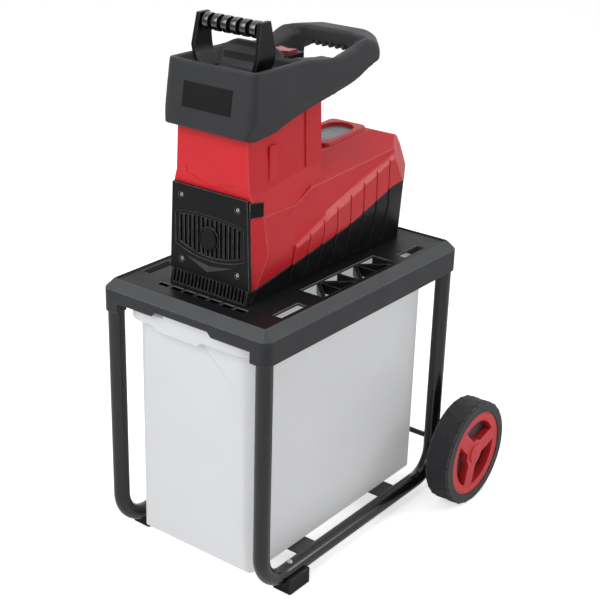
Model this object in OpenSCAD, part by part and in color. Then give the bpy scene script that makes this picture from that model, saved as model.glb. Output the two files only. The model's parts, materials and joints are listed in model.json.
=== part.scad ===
// Garden shredder on a wheeled tube frame. Millimetres, +Z up, front faces -Y.
// The origin lies on the ground, below the middle of the whole machine.

/* [Table] */
// Width of the table
table_w = 350; // [320:1:400]
// Depth of the table
table_d = 548; // [520:1:600]
// Height of the table's deck above the ground
deck_z = 498; // [470:1:540]
// Radius of the table's corners, and of the sleeves that hold the legs
table_corner_r = 17; // [16.5:0.5:20]
// Width and height of the slanted edge round the table's top
rim_bevel = 16; // [12:0.5:16.5]
// Width of the flat rim inside the slanted edge
rim_w = 2; // [1:0.25:2.5]
// Height of the rim above the deck
rim_rise = 2; // [1:0.5:4]
// Thickness of the deck
deck_t = 5; // [4:0.5:7]
// Wall of the table's skirt
skirt_wall = 4; // [3:0.5:5]
// Depth of the skirt along the sides and rear, below the rim
side_skirt_h = 57; // [52:1:62]
// Depth of the skirt along the front, below the rim
front_skirt_h = 38; // [34:1:40]
// Depth of the front skirt at the finger notch, below the rim
front_notch_h = 30; // [26:1:33]
// Width of the finger notch in the front skirt
front_notch_w = 110; // [90:1:130]
// Width of the deep corner blocks of the front skirt
corner_block_w = 34; // [33:0.5:35]

/* [Deck openings] */
// Number of slots in the row in front of the housing
front_slot_count = 7; // [5:1:9]
// Length of the row of front slots
front_slot_row = 182; // [150:1:200]
// Width of each front slot, front to back
front_slot_d = 11; // [8:0.5:13]
// Bar between two front slots
front_slot_bar = 6; // [4:0.5:9]
// Distance from the table's front edge to the middle of the front slots
front_slot_inset = 51; // [49:0.5:52]
// Distance from the table's side edge to the side openings
side_hole_inset = 28; // [27:1:32]
// Width of the side openings
side_hole_w = 46; // [30:1:50]
// Distance from the table's front edge to the lattice openings
lattice_inset = 178; // [170:1:190]
// Length of the lattice openings
lattice_len = 206; // [180:1:220]
// Number of lattice bays
lattice_bays = 4; // [3:1:6]
// Width of the lattice ribs
lattice_rib = 5; // [4:0.5:7]
// Depth of the pocket over the lattice
lattice_pocket = 2.5; // [1.5:0.5:3]
// Width of the small holes in front of and behind the lattice
corner_hole_w = 16; // [12:1:24]
// Length of the small holes in front of the lattice
corner_hole_d = 62; // [40:1:70]
// Distance from the table's front edge to the small front holes
front_hole_inset = 70; // [64:1:76]
// Distance from the lattice to the small rear holes
rear_hole_gap = 30; // [20:1:40]

/* [Frame] */
// Diameter of the frame tube
tube_d = 28; // [26:0.5:29]
// Wall of the frame tube
tube_wall = 1.5; // [1:0.1:2.5]
// Height of the bottom runs above the ground
tube_clear = 16; // [12:1:20]
// Radius of the front bends on the tube's axis
front_bend_r = 62; // [52:1:68]
// Radius of the rear bends on the tube's axis
rear_bend_r = 50; // [44:1:54]
// Half thickness of the rear leg where it is flattened for the axle
flat_half = 11; // [9:0.5:12]
// Length of the flattened stretch
flat_len = 110; // [90:5:120]
// Height of the middle of the flattened stretch above the axle
flat_rise = 18; // [10:1:24]
// Radial clearance of the legs in their sleeves
sleeve_fit = 0.1; // [0.05:0.05:0.2]
// Width of the crossbars, front to back
crossbar_w = 48; // [40:1:56]
// Thickness of the crossbars
crossbar_t = 4; // [3:0.5:6]
// Distance from the front leg to the front crossbar
front_crossbar_gap = 144; // [130:1:160]
// Distance from the axle to the rear crossbar
rear_crossbar_gap = 124; // [110:1:140]
// Width of a foot block
foot_w = 38; // [34:1:42]
// Length of a foot block
foot_len = 54; // [46:1:60]
// Distance from the front leg to the middle of a foot block
foot_gap = 77; // [70:1:85]
// Sideways shift of the foot blocks away from the tube's axis
foot_shift = 4; // [0:0.5:6]

/* [Wheels] */
// Diameter of a wheel
wheel_d = 200; // [190:1:210]
// Width of a wheel
wheel_w = 50; // [44:1:54]
// Distance from the table's rear edge to the axle
axle_inset = 19; // [17.5:0.5:24]
// Diameter of the axle
axle_d = 10; // [8:0.5:12]
// Length of the spacers between the rear legs and the wheels
spacer_len = 37.7; // [34:0.1:42]
// Diameter of the spacers
spacer_d = 18; // [16:0.5:20]
// Diameter of the wheel rim under the tyre
rim_d = 162; // [152:1:170]
// Thickness of the rim's outer ring
rim_ring = 9; // [7:0.5:12]
// Recess of the ring's edges from the tyre's sides
rim_recess = 2; // [1:0.5:2.5]
// Thickness of the wheel's web
web_t = 16; // [12:0.5:20]
// Depth of the web below the wheel's outer face
web_recess = 3; // [2.5:0.25:4]
// Diameter of the wheel's hub
hub_d = 30; // [27:0.5:34]
// Radius of the well in the hub's outer end, for the push nut
hub_well_r = 11; // [10:0.25:12]
// Turn of the wheels at rest, in degrees
wheel_turn = 15; // [0:1:60]
// Number of spokes
spoke_count = 3; // [3:1:6]
// Width of a spoke
spoke_w = 27; // [20:1:32]
// Inner radius of the windows between the spokes
window_r0 = 26; // [24:0.5:30]
// Running clearance of the wheels on the axle, on the radius
axle_play = 0.08; // [0.03:0.01:0.1]
// Shoulder of the tyre, on the radius
tyre_shoulder = 3.5; // [2:0.5:5]
// Overlap of the hub caps over the hub
cap_rim = 3; // [2:0.5:4]

/* [Collection box] */
// Half width of the box below its lip
box_half_w = 131; // [124:1:133]
// Sideways draft of the box from lip to bottom
box_draft = 6; // [3:0.5:9]
// Distance from the table's front edge to the box's front face
box_setback = 25; // [22:1:28]
// Backward draft of the box's front face
box_front_draft = 6; // [3:0.5:9]
// Slant round the box's bottom edge
box_foot = 4; // [3:0.5:8]
// Length of the box below its lip
box_len = 488; // [460:1:492]
// Wall of the box
box_wall = 2.5; // [2:0.5:4]
// Overhang of the box's lip at its sides and rear
lip_over = 8; // [5:0.5:8.5]
// Overhang of the box's lip at its front
lip_front = 13; // [8:0.5:15]
// Depth of the lip
lip_h = 20; // [16:1:26]
// Extra depth of the lip at the pull in its middle
pull_h = 8; // [5:0.5:12]
// Width of the pull under the front lip
pull_w = 104; // [80:1:130]
// Sideways shift of the pull to the left
pull_shift = 20; // [0:1:30]
// Gap between the box's lip and the table's front skirt
box_top_gap = 3; // [2:0.5:5]
// Radius of the box's front corners
box_corner_r = 41; // [32:1:48]
// Radius of the box's rear corners
box_rear_r = 28; // [20:1:40]
// Gap round the box's tab in the notch of the front skirt
tab_gap = 1.5; // [1:0.25:3]

/* [Housing] */
// Distance from the table's front edge to the housing's front
body_setback = 76; // [72:1:82]
// Wall of the housing shells
shell_wall = 4; // [3:0.5:5]
// Floor of the lower housing
floor_t = 4; // [3:0.5:6]
// Half width of the housing on the deck
base_half_w = 80; // [78:0.5:83]
// Half width of the front tower at its widest
tower_half_w = 91; // [88:0.5:94]
// Height of the tower's widest line above the deck
tower_waist_h = 77; // [70:1:84]
// Half width of the tower where it starts to narrow to the neck
flare_half_w = 88; // [86:0.5:89]
// Height of that line above the deck
flare_h = 142; // [130:1:150]
// Half width of the neck at its foot
neck_half_w = 74.5; // [73:0.5:76]
// Height of the neck's foot above the deck
neck_foot_h = 192; // [185:1:200]
// Half width of the neck at its top
neck_top_half_w = 69.5; // [68:0.5:71]
// Height of the neck's top above the deck
neck_h = 305; // [300:1:310]
// Depth of the neck, front to back
neck_d = 181; // [172:1:190]
// Half width of the tower's front face
front_half_w = 80; // [79:0.5:82]
// Sideways step of the tower's slanted front corners
corner_step = 10; // [8:0.5:12]
// Depth of the tower's slanted front corners
corner_run = 27; // [22:1:32]
// Distance from the housing's front to the front of the motor skirt
skirt_setback = 97; // [90:1:104]
// Half width of the motor skirt
skirt_half_w = 96; // [94:0.5:98]
// Half width of the hump's side walls above the skirt
hump_half_w = 89; // [87:0.5:91]
// Height of the hump's side crease above the deck, at the middle of the hump
crease_h = 170; // [166:1:174]
// Half width of the hump's flat ridge
ridge_half_w = 42; // [40:1:46]
// Height of the hump's ridge above the deck, at the middle of the hump
ridge_h = 197; // [193:1:201]
// Rise angle of the hump's crease and ridge
ridge_angle = 3.5; // [2.5:0.25:5]
// Length over which the hump's sides grow out of the tower
blend_d = 60; // [50:1:70]
// Length of the housing on the deck
body_len = 453; // [446:1:458]
// Half width of the housing's rear face
rear_half_w = 56; // [50:1:62]
// Length over which the rear corners taper
rear_taper = 66; // [56:1:76]
// Lean of the tapered rear corners
rear_corner_lean = 6; // [3:0.5:8]
// Height of the rear face above the deck
rear_h = 126; // [120:1:134]
// Height of the rear crown's lower edge above the deck
crown_low_h = 164; // [158:1:170]
// Distance of that edge before the rear face
crown_low_d = 12; // [8:1:16]
// Height of the rear crown's upper edge above the deck
crown_high_h = 185; // [180:1:190]
// Distance of that edge before the rear face
crown_high_d = 32; // [26:1:38]
// Distance of the ridge's rear end before the rear face
crown_top_d = 87; // [80:1:94]
// Forward lean of the rear corners above the rear face
crown_lean = 30; // [24:1:36]
// Height of the skirt's slanted shoulder where it starts, above the deck
shoulder_h = 71; // [66:1:76]
// Height of the slanted shoulder face
shoulder_band = 12; // [8:1:16]
// Rise angle of the shoulder
shoulder_angle = 18.2; // [17:0.2:19]
// Height of the seam between the housings at the front, above the deck
seam_h = 22; // [18:1:26]
// Height of the seam at its first bend, above the deck
seam_mid_h = 70; // [66:1:74]
// Distance of the first bend from the housing's front
seam_mid_d = 236; // [220:1:250]
// Height of the seam at its second bend, above the deck
seam_rear_h = 110; // [104:1:114]
// Distance of the second bend from the housing's front
seam_rear_d = 366; // [350:1:380]
// Height of the seam at the housing's rear, above the deck
seam_end_h = 121; // [116:1:124]
// Gap at the seam
seam_gap = 0.4; // [0.2:0.1:0.8]
// Number of grooves down each side
groove_count = 7; // [5:1:8]
// Distance between two grooves
groove_pitch = 37; // [34:0.5:38]
// Distance from the front of the skirt to the first groove
groove_start = 35; // [28:1:40]
// Width of a groove
groove_w = 4; // [3:0.5:6]
// Depth of a groove
groove_depth = 2; // [1:0.25:2.5]
// Thickness of the pilasters at the neck's rear corners
pilaster_t = 3; // [2:0.5:5]
// Width of the pilasters
pilaster_d = 40; // [30:1:46]
// Height of the front vent ledge
ledge_h = 25; // [20:1:28]
// Depth of the front vent ledge
ledge_d = 13; // [10:0.5:14]
// Number of vent slots in the ledge
ledge_slots = 20; // [12:1:24]
// Width of each vent slot
ledge_slot_w = 4; // [3:0.5:5]
// Half width of the raised frame on the hump
frame_half_w = 38; // [34:0.5:39]
// Half length of the raised frame
frame_half_d = 60; // [52:1:64]
// Width of the raised frame's border
frame_wall = 10; // [7:0.5:13]
// Height of the raised frame
frame_rise = 6; // [4:0.5:8]
// Corner radius of the raised frame
frame_r = 12; // [8:0.5:16]
// Shift of the raised frame towards the rear, from the middle of the hump
plate_shift = 30; // [24:1:36]

/* [Front cover] */
// Half width of the front cover at its foot
cover_half_w = 83; // [80:0.5:85]
// Half width of the front cover at its top
cover_top_half_w = 77; // [74:0.5:79]
// Height of the cover's top above the deck
cover_top_h = 173; // [168:1:180]
// Thickness of the front cover
cover_t = 7; // [5:0.5:9]
// Half width of the grille
grille_half_w = 70; // [62:1:73]
// Height of the grille
grille_h = 74; // [60:1:82]
// Number of grille slots
grille_slots = 14; // [10:1:16]
// Width of a grille slot
grille_slot_w = 5; // [3:0.5:6]
// Radius of the round boss in the grille
boss_r = 19; // [15:0.5:22]
// Depth of the grille field
grille_depth = 2; // [1:0.25:2.5]
// Wall left behind the grille slots
grille_back = 1.5; // [1:0.25:2]
// Rise of the arch over the grille
grille_arch = 6; // [3:0.5:9]
// Drop of the arch under the grille
grille_sag = 14; // [8:0.5:18]
// Height of the cover's side tabs
tab_h = 24; // [18:1:30]
// Depth of the cover's side tabs, front to back
tab_d = 19; // [15:1:26]
// Thickness of the cover's side tabs
tab_t = 2; // [1.5:0.5:3]
// Distance of the cover screws from the cover's edges
cover_screw_inset = 19; // [16:0.5:22]
// Radius of the cover screw heads
cover_screw_r = 5; // [4:0.5:6]

/* [Hopper] */
// Overlap of the hopper over the neck's top
hopper_overlap = 46; // [42:1:50]
// Height of the hopper from its lower edge to its rim
hopper_h = 111; // [104:1:118]
// Half width of the hopper at its lower edge
hopper_half_w = 95; // [92:0.5:98]
// Half width of the hopper at its rim
hopper_rim_half_w = 88; // [86:0.5:91]
// How far the hopper's front stands out before the neck at its lower edge
hopper_front = 19; // [15:0.5:22]
// Backward lean of the hopper's front face
hopper_lean = 15; // [10:0.5:18]
// Radius of the hopper's front corners
hopper_corner_r = 22; // [16:1:28]
// Wall of the hopper round its mouth
hopper_wall = 8; // [6:0.5:10]
// Depth of the funnel
funnel_depth = 26; // [20:1:30]
// Distance from the housing's front to the rear of the mouth
mouth_rear = 124; // [118:1:130]
// Depth of the hood over the rear of the mouth
hood_d = 14; // [10:0.5:18]
// How far the hood reaches to the right of the middle
hood_right = 36; // [30:1:44]
// Height of the hood's arch above the rim
hood_rise = 17; // [12:1:22]
// Depth of the solid deck behind the mouth, that carries the switch box
panel_d = 67; // [62:1:70]
// Height of the deck behind the mouth below the rim
panel_drop = 30; // [26:1:34]
// Length of the loop from the deck to the inside of the grip
loop_len = 105; // [90:1:115]
// Half width of the loop's opening
loop_half_w = 61; // [55:1:64]
// Thickness of the grip bar, front to back
grip_bar_d = 50; // [44:1:54]
// Thickness of the grip bar, top to bottom
grip_bar_h = 29; // [26:1:32]
// Depth of the slant along the arms' inner top edges
arm_slant = 16; // [12:1:20]
// Rise angle of the arms towards the grip
arm_angle = 12; // [10:0.5:14]
// Dip of the arms below the rim, behind the mouth
arm_dip = 9; // [6:0.5:10]
// Length of the level bottom under the hopper's front, behind the housing's front
keel_d = 46; // [40:1:52]
// Height of the hopper's underside at the neck's rear, above the lower edge
under_neck_h = 38; // [36:1:44]
// Height of the arms' underside at the middle of the loop, above the lower edge
under_arm_h = 50; // [46:1:54]
// Height of the arms' underside before the grip, above the lower edge
under_grip_h = 76; // [72:1:80]
// Rounding of the hopper's lower front edge
lip_round = 11; // [7:1:14]
// Rise of the grip bar above the rim
grip_rise = 11; // [9:1:16]
// Radius of the loop's outer corners
loop_corner_r = 50; // [44:1:54]
// Turn of the slants over the loop's rear corners
loop_cut_turn = 35; // [25:1:45]
// Lean of the upper slants
loop_cut_lean = 25; // [20:1:30]
// Lean of the lower slants
loop_cut_steep = 64; // [58:1:70]
// Distance from the upper to the lower slants along the top
loop_cut_step = 15; // [12:0.5:18]
// Steps of the grip's rounded rear
grip_steps = 6; // [4:1:10]
// Number of finger scallops under the grip
scallop_count = 8; // [5:1:10]
// Radius of a finger scallop
scallop_r = 7; // [5:0.5:8]
// Depth of a finger scallop
scallop_depth = 3; // [2:0.5:4]
// Clearance between the hopper and the neck
neck_fit = 0.4; // [0.3:0.1:0.8]
// Width of the plain plate on the hopper's front
plate_w = 97; // [80:1:110]
// Height of the plain plate
plate_h = 40; // [32:1:46]
// Thickness of the plain plates
plate_t = 1; // [0.6:0.1:1.6]

/* [Pusher] */
// Height of the pusher above the funnel's floor
pusher_h = 91; // [84:1:98]
// Half width of the pusher's grip end
pusher_top_half_w = 64; // [60:0.5:66]
// Half width of the pusher's side plates at their widest
pusher_half_w = 67.5; // [66:0.5:72]
// Height of the widest line above the funnel's floor
pusher_waist_h = 42; // [36:1:48]
// Height where the side plates turn in to the flange, above the funnel's floor
pusher_turn_h = 24; // [20:1:28]
// Half width of the side plates where they meet the flange
pusher_root_half_w = 50; // [46:0.5:52]
// Thickness of the side plates
pusher_plate_t = 8; // [6:0.5:10]
// Depth of the side plates at their top
pusher_top_d = 24; // [18:1:30]
// Depth of the side plates at their foot
pusher_foot_d = 42; // [36:1:50]
// Radius of the ribbed grip
pusher_grip_r = 10; // [8.5:0.5:12]
// Number of ribs on the grip
pusher_rib_count = 6; // [4:1:8]
// Height of a grip rib
pusher_rib_h = 3.5; // [2:0.5:4]
// Width of a grip rib
pusher_rib_w = 11; // [8:0.5:13]
// Length of the pusher's ram below the funnel's floor
ram_len = 140; // [110:1:150]
// Clearance of the ram in the chute
ram_play = 1; // [0.6:0.1:1.6]
// Thickness of the pusher's flange
flange_t = 4; // [3:0.5:6]
// Overhang of the pusher's flange past the chute
flange_over = 2.5; // [2:0.5:4]
// Wall of the ram
ram_wall = 3; // [2:0.5:4]

/* [Cutting unit] */
// Width of the feed chute inside
chute_w = 108; // [100:1:112]
// Depth of the feed chute inside
chute_d = 73; // [66:1:78]
// Wall of the feed chute
chute_wall = 3; // [2:0.5:4]
// Wall of the cutting chamber
chamber_wall = 8; // [6:0.5:10]
// Height of the roller's axis above the deck
roller_h = 94; // [90:1:98]
// Height of the cutting chamber above its axis
chamber_top = 68; // [62:1:72]
// Radius of the cutting roller
roller_r = 42; // [36:1:45]
// Number of teeth on the roller
roller_teeth = 8; // [6:1:10]
// Depth of the roller's teeth
tooth_depth = 8; // [5:0.5:10]
// Share of a tooth's pitch that its land takes
tooth_land = 0.4; // [0.3:0.02:0.46]
// Share of the pitch where the tooth's back ends
tooth_back = 0.5; // [0.48:0.02:0.6]
// Share of the pitch where the next tooth's face starts
tooth_face = 0.94; // [0.8:0.02:0.98]
// Clearance at the ends of the roller
roller_play = 1.5; // [1:0.25:2.5]
// Radius of the roller's shaft
roller_shaft_r = 10; // [8:0.5:12]
// Radius of the roller's bearings
roller_bearing_r = 19; // [17:0.5:22]
// Running clearance of the shafts in their bearings, on the radius
shaft_play = 0.05; // [0.02:0.01:0.08]
// Thickness of the counter plate
counter_t = 8.5; // [7:0.5:8.5]
// Height of the counter plate
counter_h = 62; // [50:1:70]
// Travel of the counter plate towards the roller
counter_travel = 2; // [1:0.25:2.5]
// Gap from the roller to the counter plate when it is let back
counter_gap = 3; // [2.75:0.25:4]
// Radius of the adjusting screw
adjust_r = 5; // [4:0.5:6]
// Radius of the adjusting knob
knob_r = 17; // [14:0.5:20]
// Thickness of the adjusting knob
knob_t = 16; // [12:0.5:20]
// Number of flutes round the knob
knob_flutes = 8; // [6:1:12]

/* [Drive] */
// Gear module
gear_module = 1.5; // [1.25:0.05:1.6]
// Teeth of the motor pinion
pinion_teeth = 10; // [10:1:12]
// Teeth of the large intermediate gear
wheel_teeth = 42; // [40:1:44]
// Teeth of the intermediate pinion
lay_teeth = 12; // [12:1:14]
// Height of a gear tooth outside the pitch circle, in modules
gear_head = 0.9; // [0.8:0.05:0.95]
// Depth of a gear tooth inside the pitch circle, in modules
gear_foot = 1.25; // [1.2:0.05:1.4]
// Half width of a gear tooth at its foot, in pitches
gear_wide = 0.27; // [0.25:0.01:0.27]
// Half width of a gear tooth at its tip, in pitches
gear_thin = 0.1; // [0.08:0.01:0.1]
// Width of the output gear
output_gear_w = 14; // [10:0.5:16]
// Width of the large intermediate gear
wheel_gear_w = 10; // [8:0.5:12]
// Gap between the gears side by side
gear_gap = 4; // [3:0.5:6]
// Radius of the intermediate shaft
lay_shaft_r = 6; // [5:0.5:7]
// Clearance round the gears in the case
gear_room = 4; // [3:0.5:6]
// Wall of the gearbox case
case_wall = 5; // [4:0.5:7]
// Radius of the motor casing
motor_r = 60; // [54:1:64]
// Wall of the motor casing
motor_wall = 4; // [3:0.5:6]
// Length of the motor casing
motor_len = 150; // [130:1:160]
// Thickness of the motor's end walls
motor_end_t = 8; // [6:0.5:10]
// Radius of the motor shaft
motor_shaft_r = 6; // [5:0.5:7]
// Radius of the motor's bearings
motor_bearing_r = 14; // [12:0.5:16]
// Radius of the rotor's iron core
rotor_r = 31; // [27:0.5:34]
// Length of the iron cores
core_len = 85; // [70:1:95]
// Air gap round the rotor
air_gap = 0.6; // [0.4:0.1:1]
// Radius of the cooling fan
fan_r = 50; // [44:1:54]
// Thickness of the cooling fan
fan_t = 16; // [12:0.5:20]
// Number of fan blades
fan_blades = 9; // [6:1:12]

/* [Controls] */
// Width of the tall part of the switch box
switch_w = 72; // [64:1:78]
// How far the switch box stands to the right of the middle
switch_shift = 9; // [6:0.5:10]
// Gap between the hood and the switch box
switch_gap = 10; // [8:0.5:12]
// Width of the low part of the switch box
switch_low_w = 28; // [24:1:32]
// Depth of the switch box
switch_d = 46; // [42:1:48]
// Height of the tall part of the switch box
switch_h = 24; // [20:1:28]
// Height of the low part of the switch box
switch_low_h = 12; // [10:0.5:14]
// Length of the power rocker
rocker_len = 34; // [28:1:36]
// Width of the power rocker
rocker_d = 22; // [16:1:26]
// Height of the power rocker above the box
rocker_h = 6; // [5:0.5:8]
// Length of the reverse rocker
reverse_len = 20; // [16:0.5:22]
// Clearance round the rockers
rocker_play = 0.6; // [0.4:0.1:1]
// Radius of the reset button
reset_r = 9; // [7:0.5:10]
// Height of the reset button above the box
reset_h = 7; // [6:0.5:9]
// Travel of the reset button
reset_travel = 3; // [2:0.5:4]
// Radius of the mains inlet's shroud
inlet_r = 21; // [18:0.5:23]
// Half length of the mains inlet's shroud
inlet_len = 20; // [16:1:24]
// Height of the mains inlet above the deck
inlet_h = 60; // [54:1:66]

/* [Fasteners] */
// Radius of the screw shanks
screw_r = 2.4; // [2:0.1:3]
// Radius of the screw heads
screw_head_r = 5; // [4:0.25:6]
// Height of the screw heads
screw_head_h = 3; // [2:0.25:4]
// Clearance of the screws in their holes, on the radius
screw_fit = 0.05; // [0.03:0.01:0.1]
// Gap kept between pieces that slide or seat loosely
seat_gap = 0.3; // [0.2:0.05:0.5]

/* [Hidden] */
$fn = 64;

// Overlap of a cutting shape past the face that it opens
cut = 1;
// Reach of a cutting shape that passes right through the machine
far = 600;

// Main lines of the machine
front_y = -(table_d - axle_inset + wheel_d / 2) / 2;
axle_y = front_y + table_d - axle_inset;
axle_z = wheel_d / 2;
table_mid_y = front_y + table_d / 2;
rim_z = deck_z + rim_rise;
deck_under_z = deck_z - deck_t;
leg_top_z = rim_z - rim_bevel - skirt_wall;
skirt_z = rim_z - side_skirt_h;
leg_x = table_w / 2 - table_corner_r;
front_leg_y = front_y + table_corner_r;
tube_r = tube_d / 2;
run_z = tube_clear + tube_r;
axle_r = axle_d / 2;
wheel_x = leg_x + flat_half + spacer_len + seat_gap;
hub_len = wheel_w - 2 * web_recess - 4 * seat_gap;
body_y = front_y + body_setback;
body_rear_y = body_y + body_len;
skirt_y = body_y + skirt_setback;
neck_rear_y = body_y + neck_d;
neck_top_z = deck_z + neck_h;
ridge_z = deck_z + ridge_h;
roller_z = deck_z + roller_h;

// Lines of the cutting unit and drive along Y
chamber_y = body_y + shell_wall + seat_gap;
chute_y0 = chamber_y + chamber_wall;
chute_y1 = chute_y0 + chute_d;
chute_mid_y = (chute_y0 + chute_y1) / 2;
chamber_rear_y = chute_y1 + chamber_wall;
output_y0 = chamber_rear_y + gear_gap;
output_y1 = output_y0 + output_gear_w;
wheel_gear_y0 = output_y1 + gear_gap;
wheel_gear_y1 = wheel_gear_y0 + wheel_gear_w;
case_rear_y = wheel_gear_y1 + gear_gap + case_wall;
motor_rear_y = case_rear_y + motor_len;
output_teeth = pinion_teeth + wheel_teeth - lay_teeth;
lay_distance = gear_module * (pinion_teeth + wheel_teeth) / 2;
lay_z = roller_z + lay_distance;
chamber_top_z = roller_z + chamber_top;
chamber_x0 = -(chute_w / 2);
chamber_x1 = chute_w / 2;

// Lines of the hopper
hopper_z = neck_top_z - hopper_overlap;
rim_top_z = hopper_z + hopper_h;
hopper_y = body_y - hopper_front;
funnel_z = rim_top_z - funnel_depth;
mouth_y = hopper_y + hopper_lean + hopper_wall;
mouth_rear_y = body_y + mouth_rear;
panel_z = rim_top_z - panel_drop;
panel_rear_y = mouth_rear_y + panel_d;
loop_rear_y = panel_rear_y + loop_len;
hopper_rear_y = loop_rear_y + grip_bar_d;
grip_top_z = rim_top_z + grip_rise;

// A box between two corners
module block(low, high) {
    translate(low) cube(high - low);
}

// A round bar along X
module bar_x(r, x0, x1) {
    translate([x0, 0, 0]) rotate([0, 90, 0]) cylinder(r = r, h = x1 - x0);
}

// A round bar along Y
module bar_y(r, y0, y1) {
    translate([0, y0, 0]) rotate([-90, 0, 0]) cylinder(r = r, h = y1 - y0);
}

// A prism along Y with a cross-section of [x, z] points
module prism_y(points, y0, y1) {
    translate([0, y1, 0]) rotate([90, 0, 0]) linear_extrude(y1 - y0) polygon(points);
}

// A prism along X with a cross-section of [y, z] points
module prism_x(points, x0, x1) {
    translate([x0, 0, 0]) rotate([90, 0, 90]) linear_extrude(x1 - x0) polygon(points);
}

// A plate with round corners, in the plane, between two corners
module round_plate(low, high, r) {
    union() {
        translate([low[0] + r, low[1]]) square([high[0] - low[0] - 2 * r, high[1] - low[1]]);
        translate([low[0], low[1] + r]) square([high[0] - low[0], high[1] - low[1] - 2 * r]);
        for (x = [low[0] + r, high[0] - r])
            for (y = [low[1] + r, high[1] - r])
                translate([x, y]) circle(r = r);
    }
}

// Both sides of an outline that is given from the bottom up at +X
function both_sides(half) =
    concat(half, [for (i = [len(half) - 1:-1:0]) [-half[i][0], half[i][1]]]);

// The half on each side of the machine
module each_side() {
    children();
    mirror([1, 0, 0]) children();
}

// Table

// Outer form of the table, solid
module table_form() {
    half_w = table_w / 2;
    half_d = table_d / 2;
    r = table_corner_r;
    bevel_z = rim_z - rim_bevel;
    translate([0, table_mid_y, 0]) {
        translate([0, 0, skirt_z]) linear_extrude(bevel_z - skirt_z)
            round_plate([-half_w, -half_d], [half_w, half_d], r);
        prism_y(both_sides([[half_w - cut, bevel_z - cut], [half_w, bevel_z],
            [half_w - rim_bevel, rim_z]]), -half_d + r, half_d - r);
        prism_x(both_sides([[half_d - cut, bevel_z - cut], [half_d, bevel_z],
            [half_d - rim_bevel, rim_z]]), -half_w + r, half_w - r);
        for (x = [-half_w + r, half_w - r])
            for (y = [-half_d + r, half_d - r])
                translate([x, y, bevel_z]) rotate_extrude()
                    polygon([[0, -cut], [r - cut, -cut], [r, 0], [r - rim_bevel, rim_bevel],
                        [0, rim_bevel]]);
    }
}

// Places of the four legs
module at_legs() {
    for (x = [-leg_x, leg_x])
        for (y = [front_leg_y, axle_y])
            translate([x, y, 0]) children();
}

// Hollow below the deck
module table_hollow() {
    half_w = table_w / 2 - skirt_wall;
    deep_half_w = table_w / 2 - rim_bevel;
    translate([0, 0, skirt_z - cut]) linear_extrude(rim_z - rim_bevel - skirt_z + cut)
        round_plate([-half_w, front_y + skirt_wall],
            [half_w, front_y + table_d - skirt_wall], table_corner_r - skirt_wall);
    translate([0, 0, skirt_z - cut]) linear_extrude(deck_under_z - skirt_z + cut)
        round_plate([-deep_half_w, front_y + rim_bevel],
            [deep_half_w, front_y + table_d - rim_bevel], skirt_wall);
}

// Openings of the front skirt, for the box and for the hand
module front_skirt_cut() {
    half_gap = table_w / 2 - corner_block_w;
    half_notch = front_notch_w / 2;
    slant = front_skirt_h - front_notch_h;
    low = skirt_z - cut;
    edge = rim_z - front_skirt_h;
    prism_y(both_sides([[half_gap, low], [half_gap, edge], [half_notch + slant, edge],
        [half_notch, rim_z - front_notch_h]]), front_y - cut, front_y + skirt_wall + cut);
}

// Bays of the lattice on one side, as triangles between slanting ribs
module lattice_holes() {
    x1 = table_w / 2 - side_hole_inset;
    x0 = x1 - side_hole_w;
    bay = lattice_len / lattice_bays;
    start = front_y + lattice_inset;
    rib = lattice_rib / 2;
    slant = lattice_rib * bay / side_hole_w;
    for (i = [0:lattice_bays - 1]) {
        y0 = start + i * bay + rib;
        y1 = start + (i + 1) * bay - rib;
        flip = i % 2 == 0;
        translate([0, 0, deck_under_z - cut]) linear_extrude(deck_t + 2 * cut) {
            polygon([[x0, flip ? y0 : y1], [x1 - lattice_rib, flip ? y0 : y1],
                [x0, flip ? y1 - slant : y0 + slant]]);
            polygon([[x1, flip ? y1 : y0], [x0 + lattice_rib, flip ? y1 : y0],
                [x1, flip ? y0 + slant : y1 - slant]]);
        }
    }
}

// All openings on one side of the deck
module side_holes() {
    x1 = table_w / 2 - side_hole_inset;
    low = deck_under_z - cut;
    high = rim_z + cut;
    rear_y = front_y + lattice_inset + lattice_len + rear_hole_gap;
    block([x1 - side_hole_w, front_y + lattice_inset, deck_z - lattice_pocket],
        [x1, front_y + lattice_inset + lattice_len, high]);
    lattice_holes();
    block([x1 - corner_hole_w, front_y + front_hole_inset, low],
        [x1, front_y + front_hole_inset + corner_hole_d, high]);
    block([x1 - corner_hole_w, rear_y, low], [x1, rear_y + corner_hole_d, high]);
}

// Row of slots in front of the housing
module front_slots() {
    pitch = (front_slot_row + front_slot_bar) / front_slot_count;
    slot = pitch - front_slot_bar;
    y = front_y + front_slot_inset;
    for (i = [0:front_slot_count - 1])
        translate([-front_slot_row / 2 + i * pitch, y - front_slot_d / 2, deck_under_z - cut])
            cube([slot, front_slot_d, deck_t + rim_rise + 2 * cut]);
}

// Way down for the chips, from the chamber into the box
module discharge(z0, z1) {
    block([chamber_x0, chute_y0, z0], [chamber_x1, chute_y1, z1]);
}

// Places of the screws that hold the housing on the deck
module at_housing_screws() {
    for (x = [-1, 1]) {
        translate([x * (base_half_w - shell_wall - 2 * screw_head_r), chamber_rear_y + knob_t, 0])
            children();
        translate([x * (rear_half_w - shell_wall - 2 * screw_head_r), motor_rear_y + fan_t, 0])
            children();
    }
}

// Places of the screws that hold the legs in their sleeves, with the shanks towards +X
module at_leg_screws() {
    z = leg_top_z - 2 * screw_head_r;
    for (y = [front_leg_y, axle_y]) {
        translate([leg_x - table_corner_r, y, z]) children();
        mirror([1, 0, 0]) translate([leg_x - table_corner_r, y, z]) children();
    }
}

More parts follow.
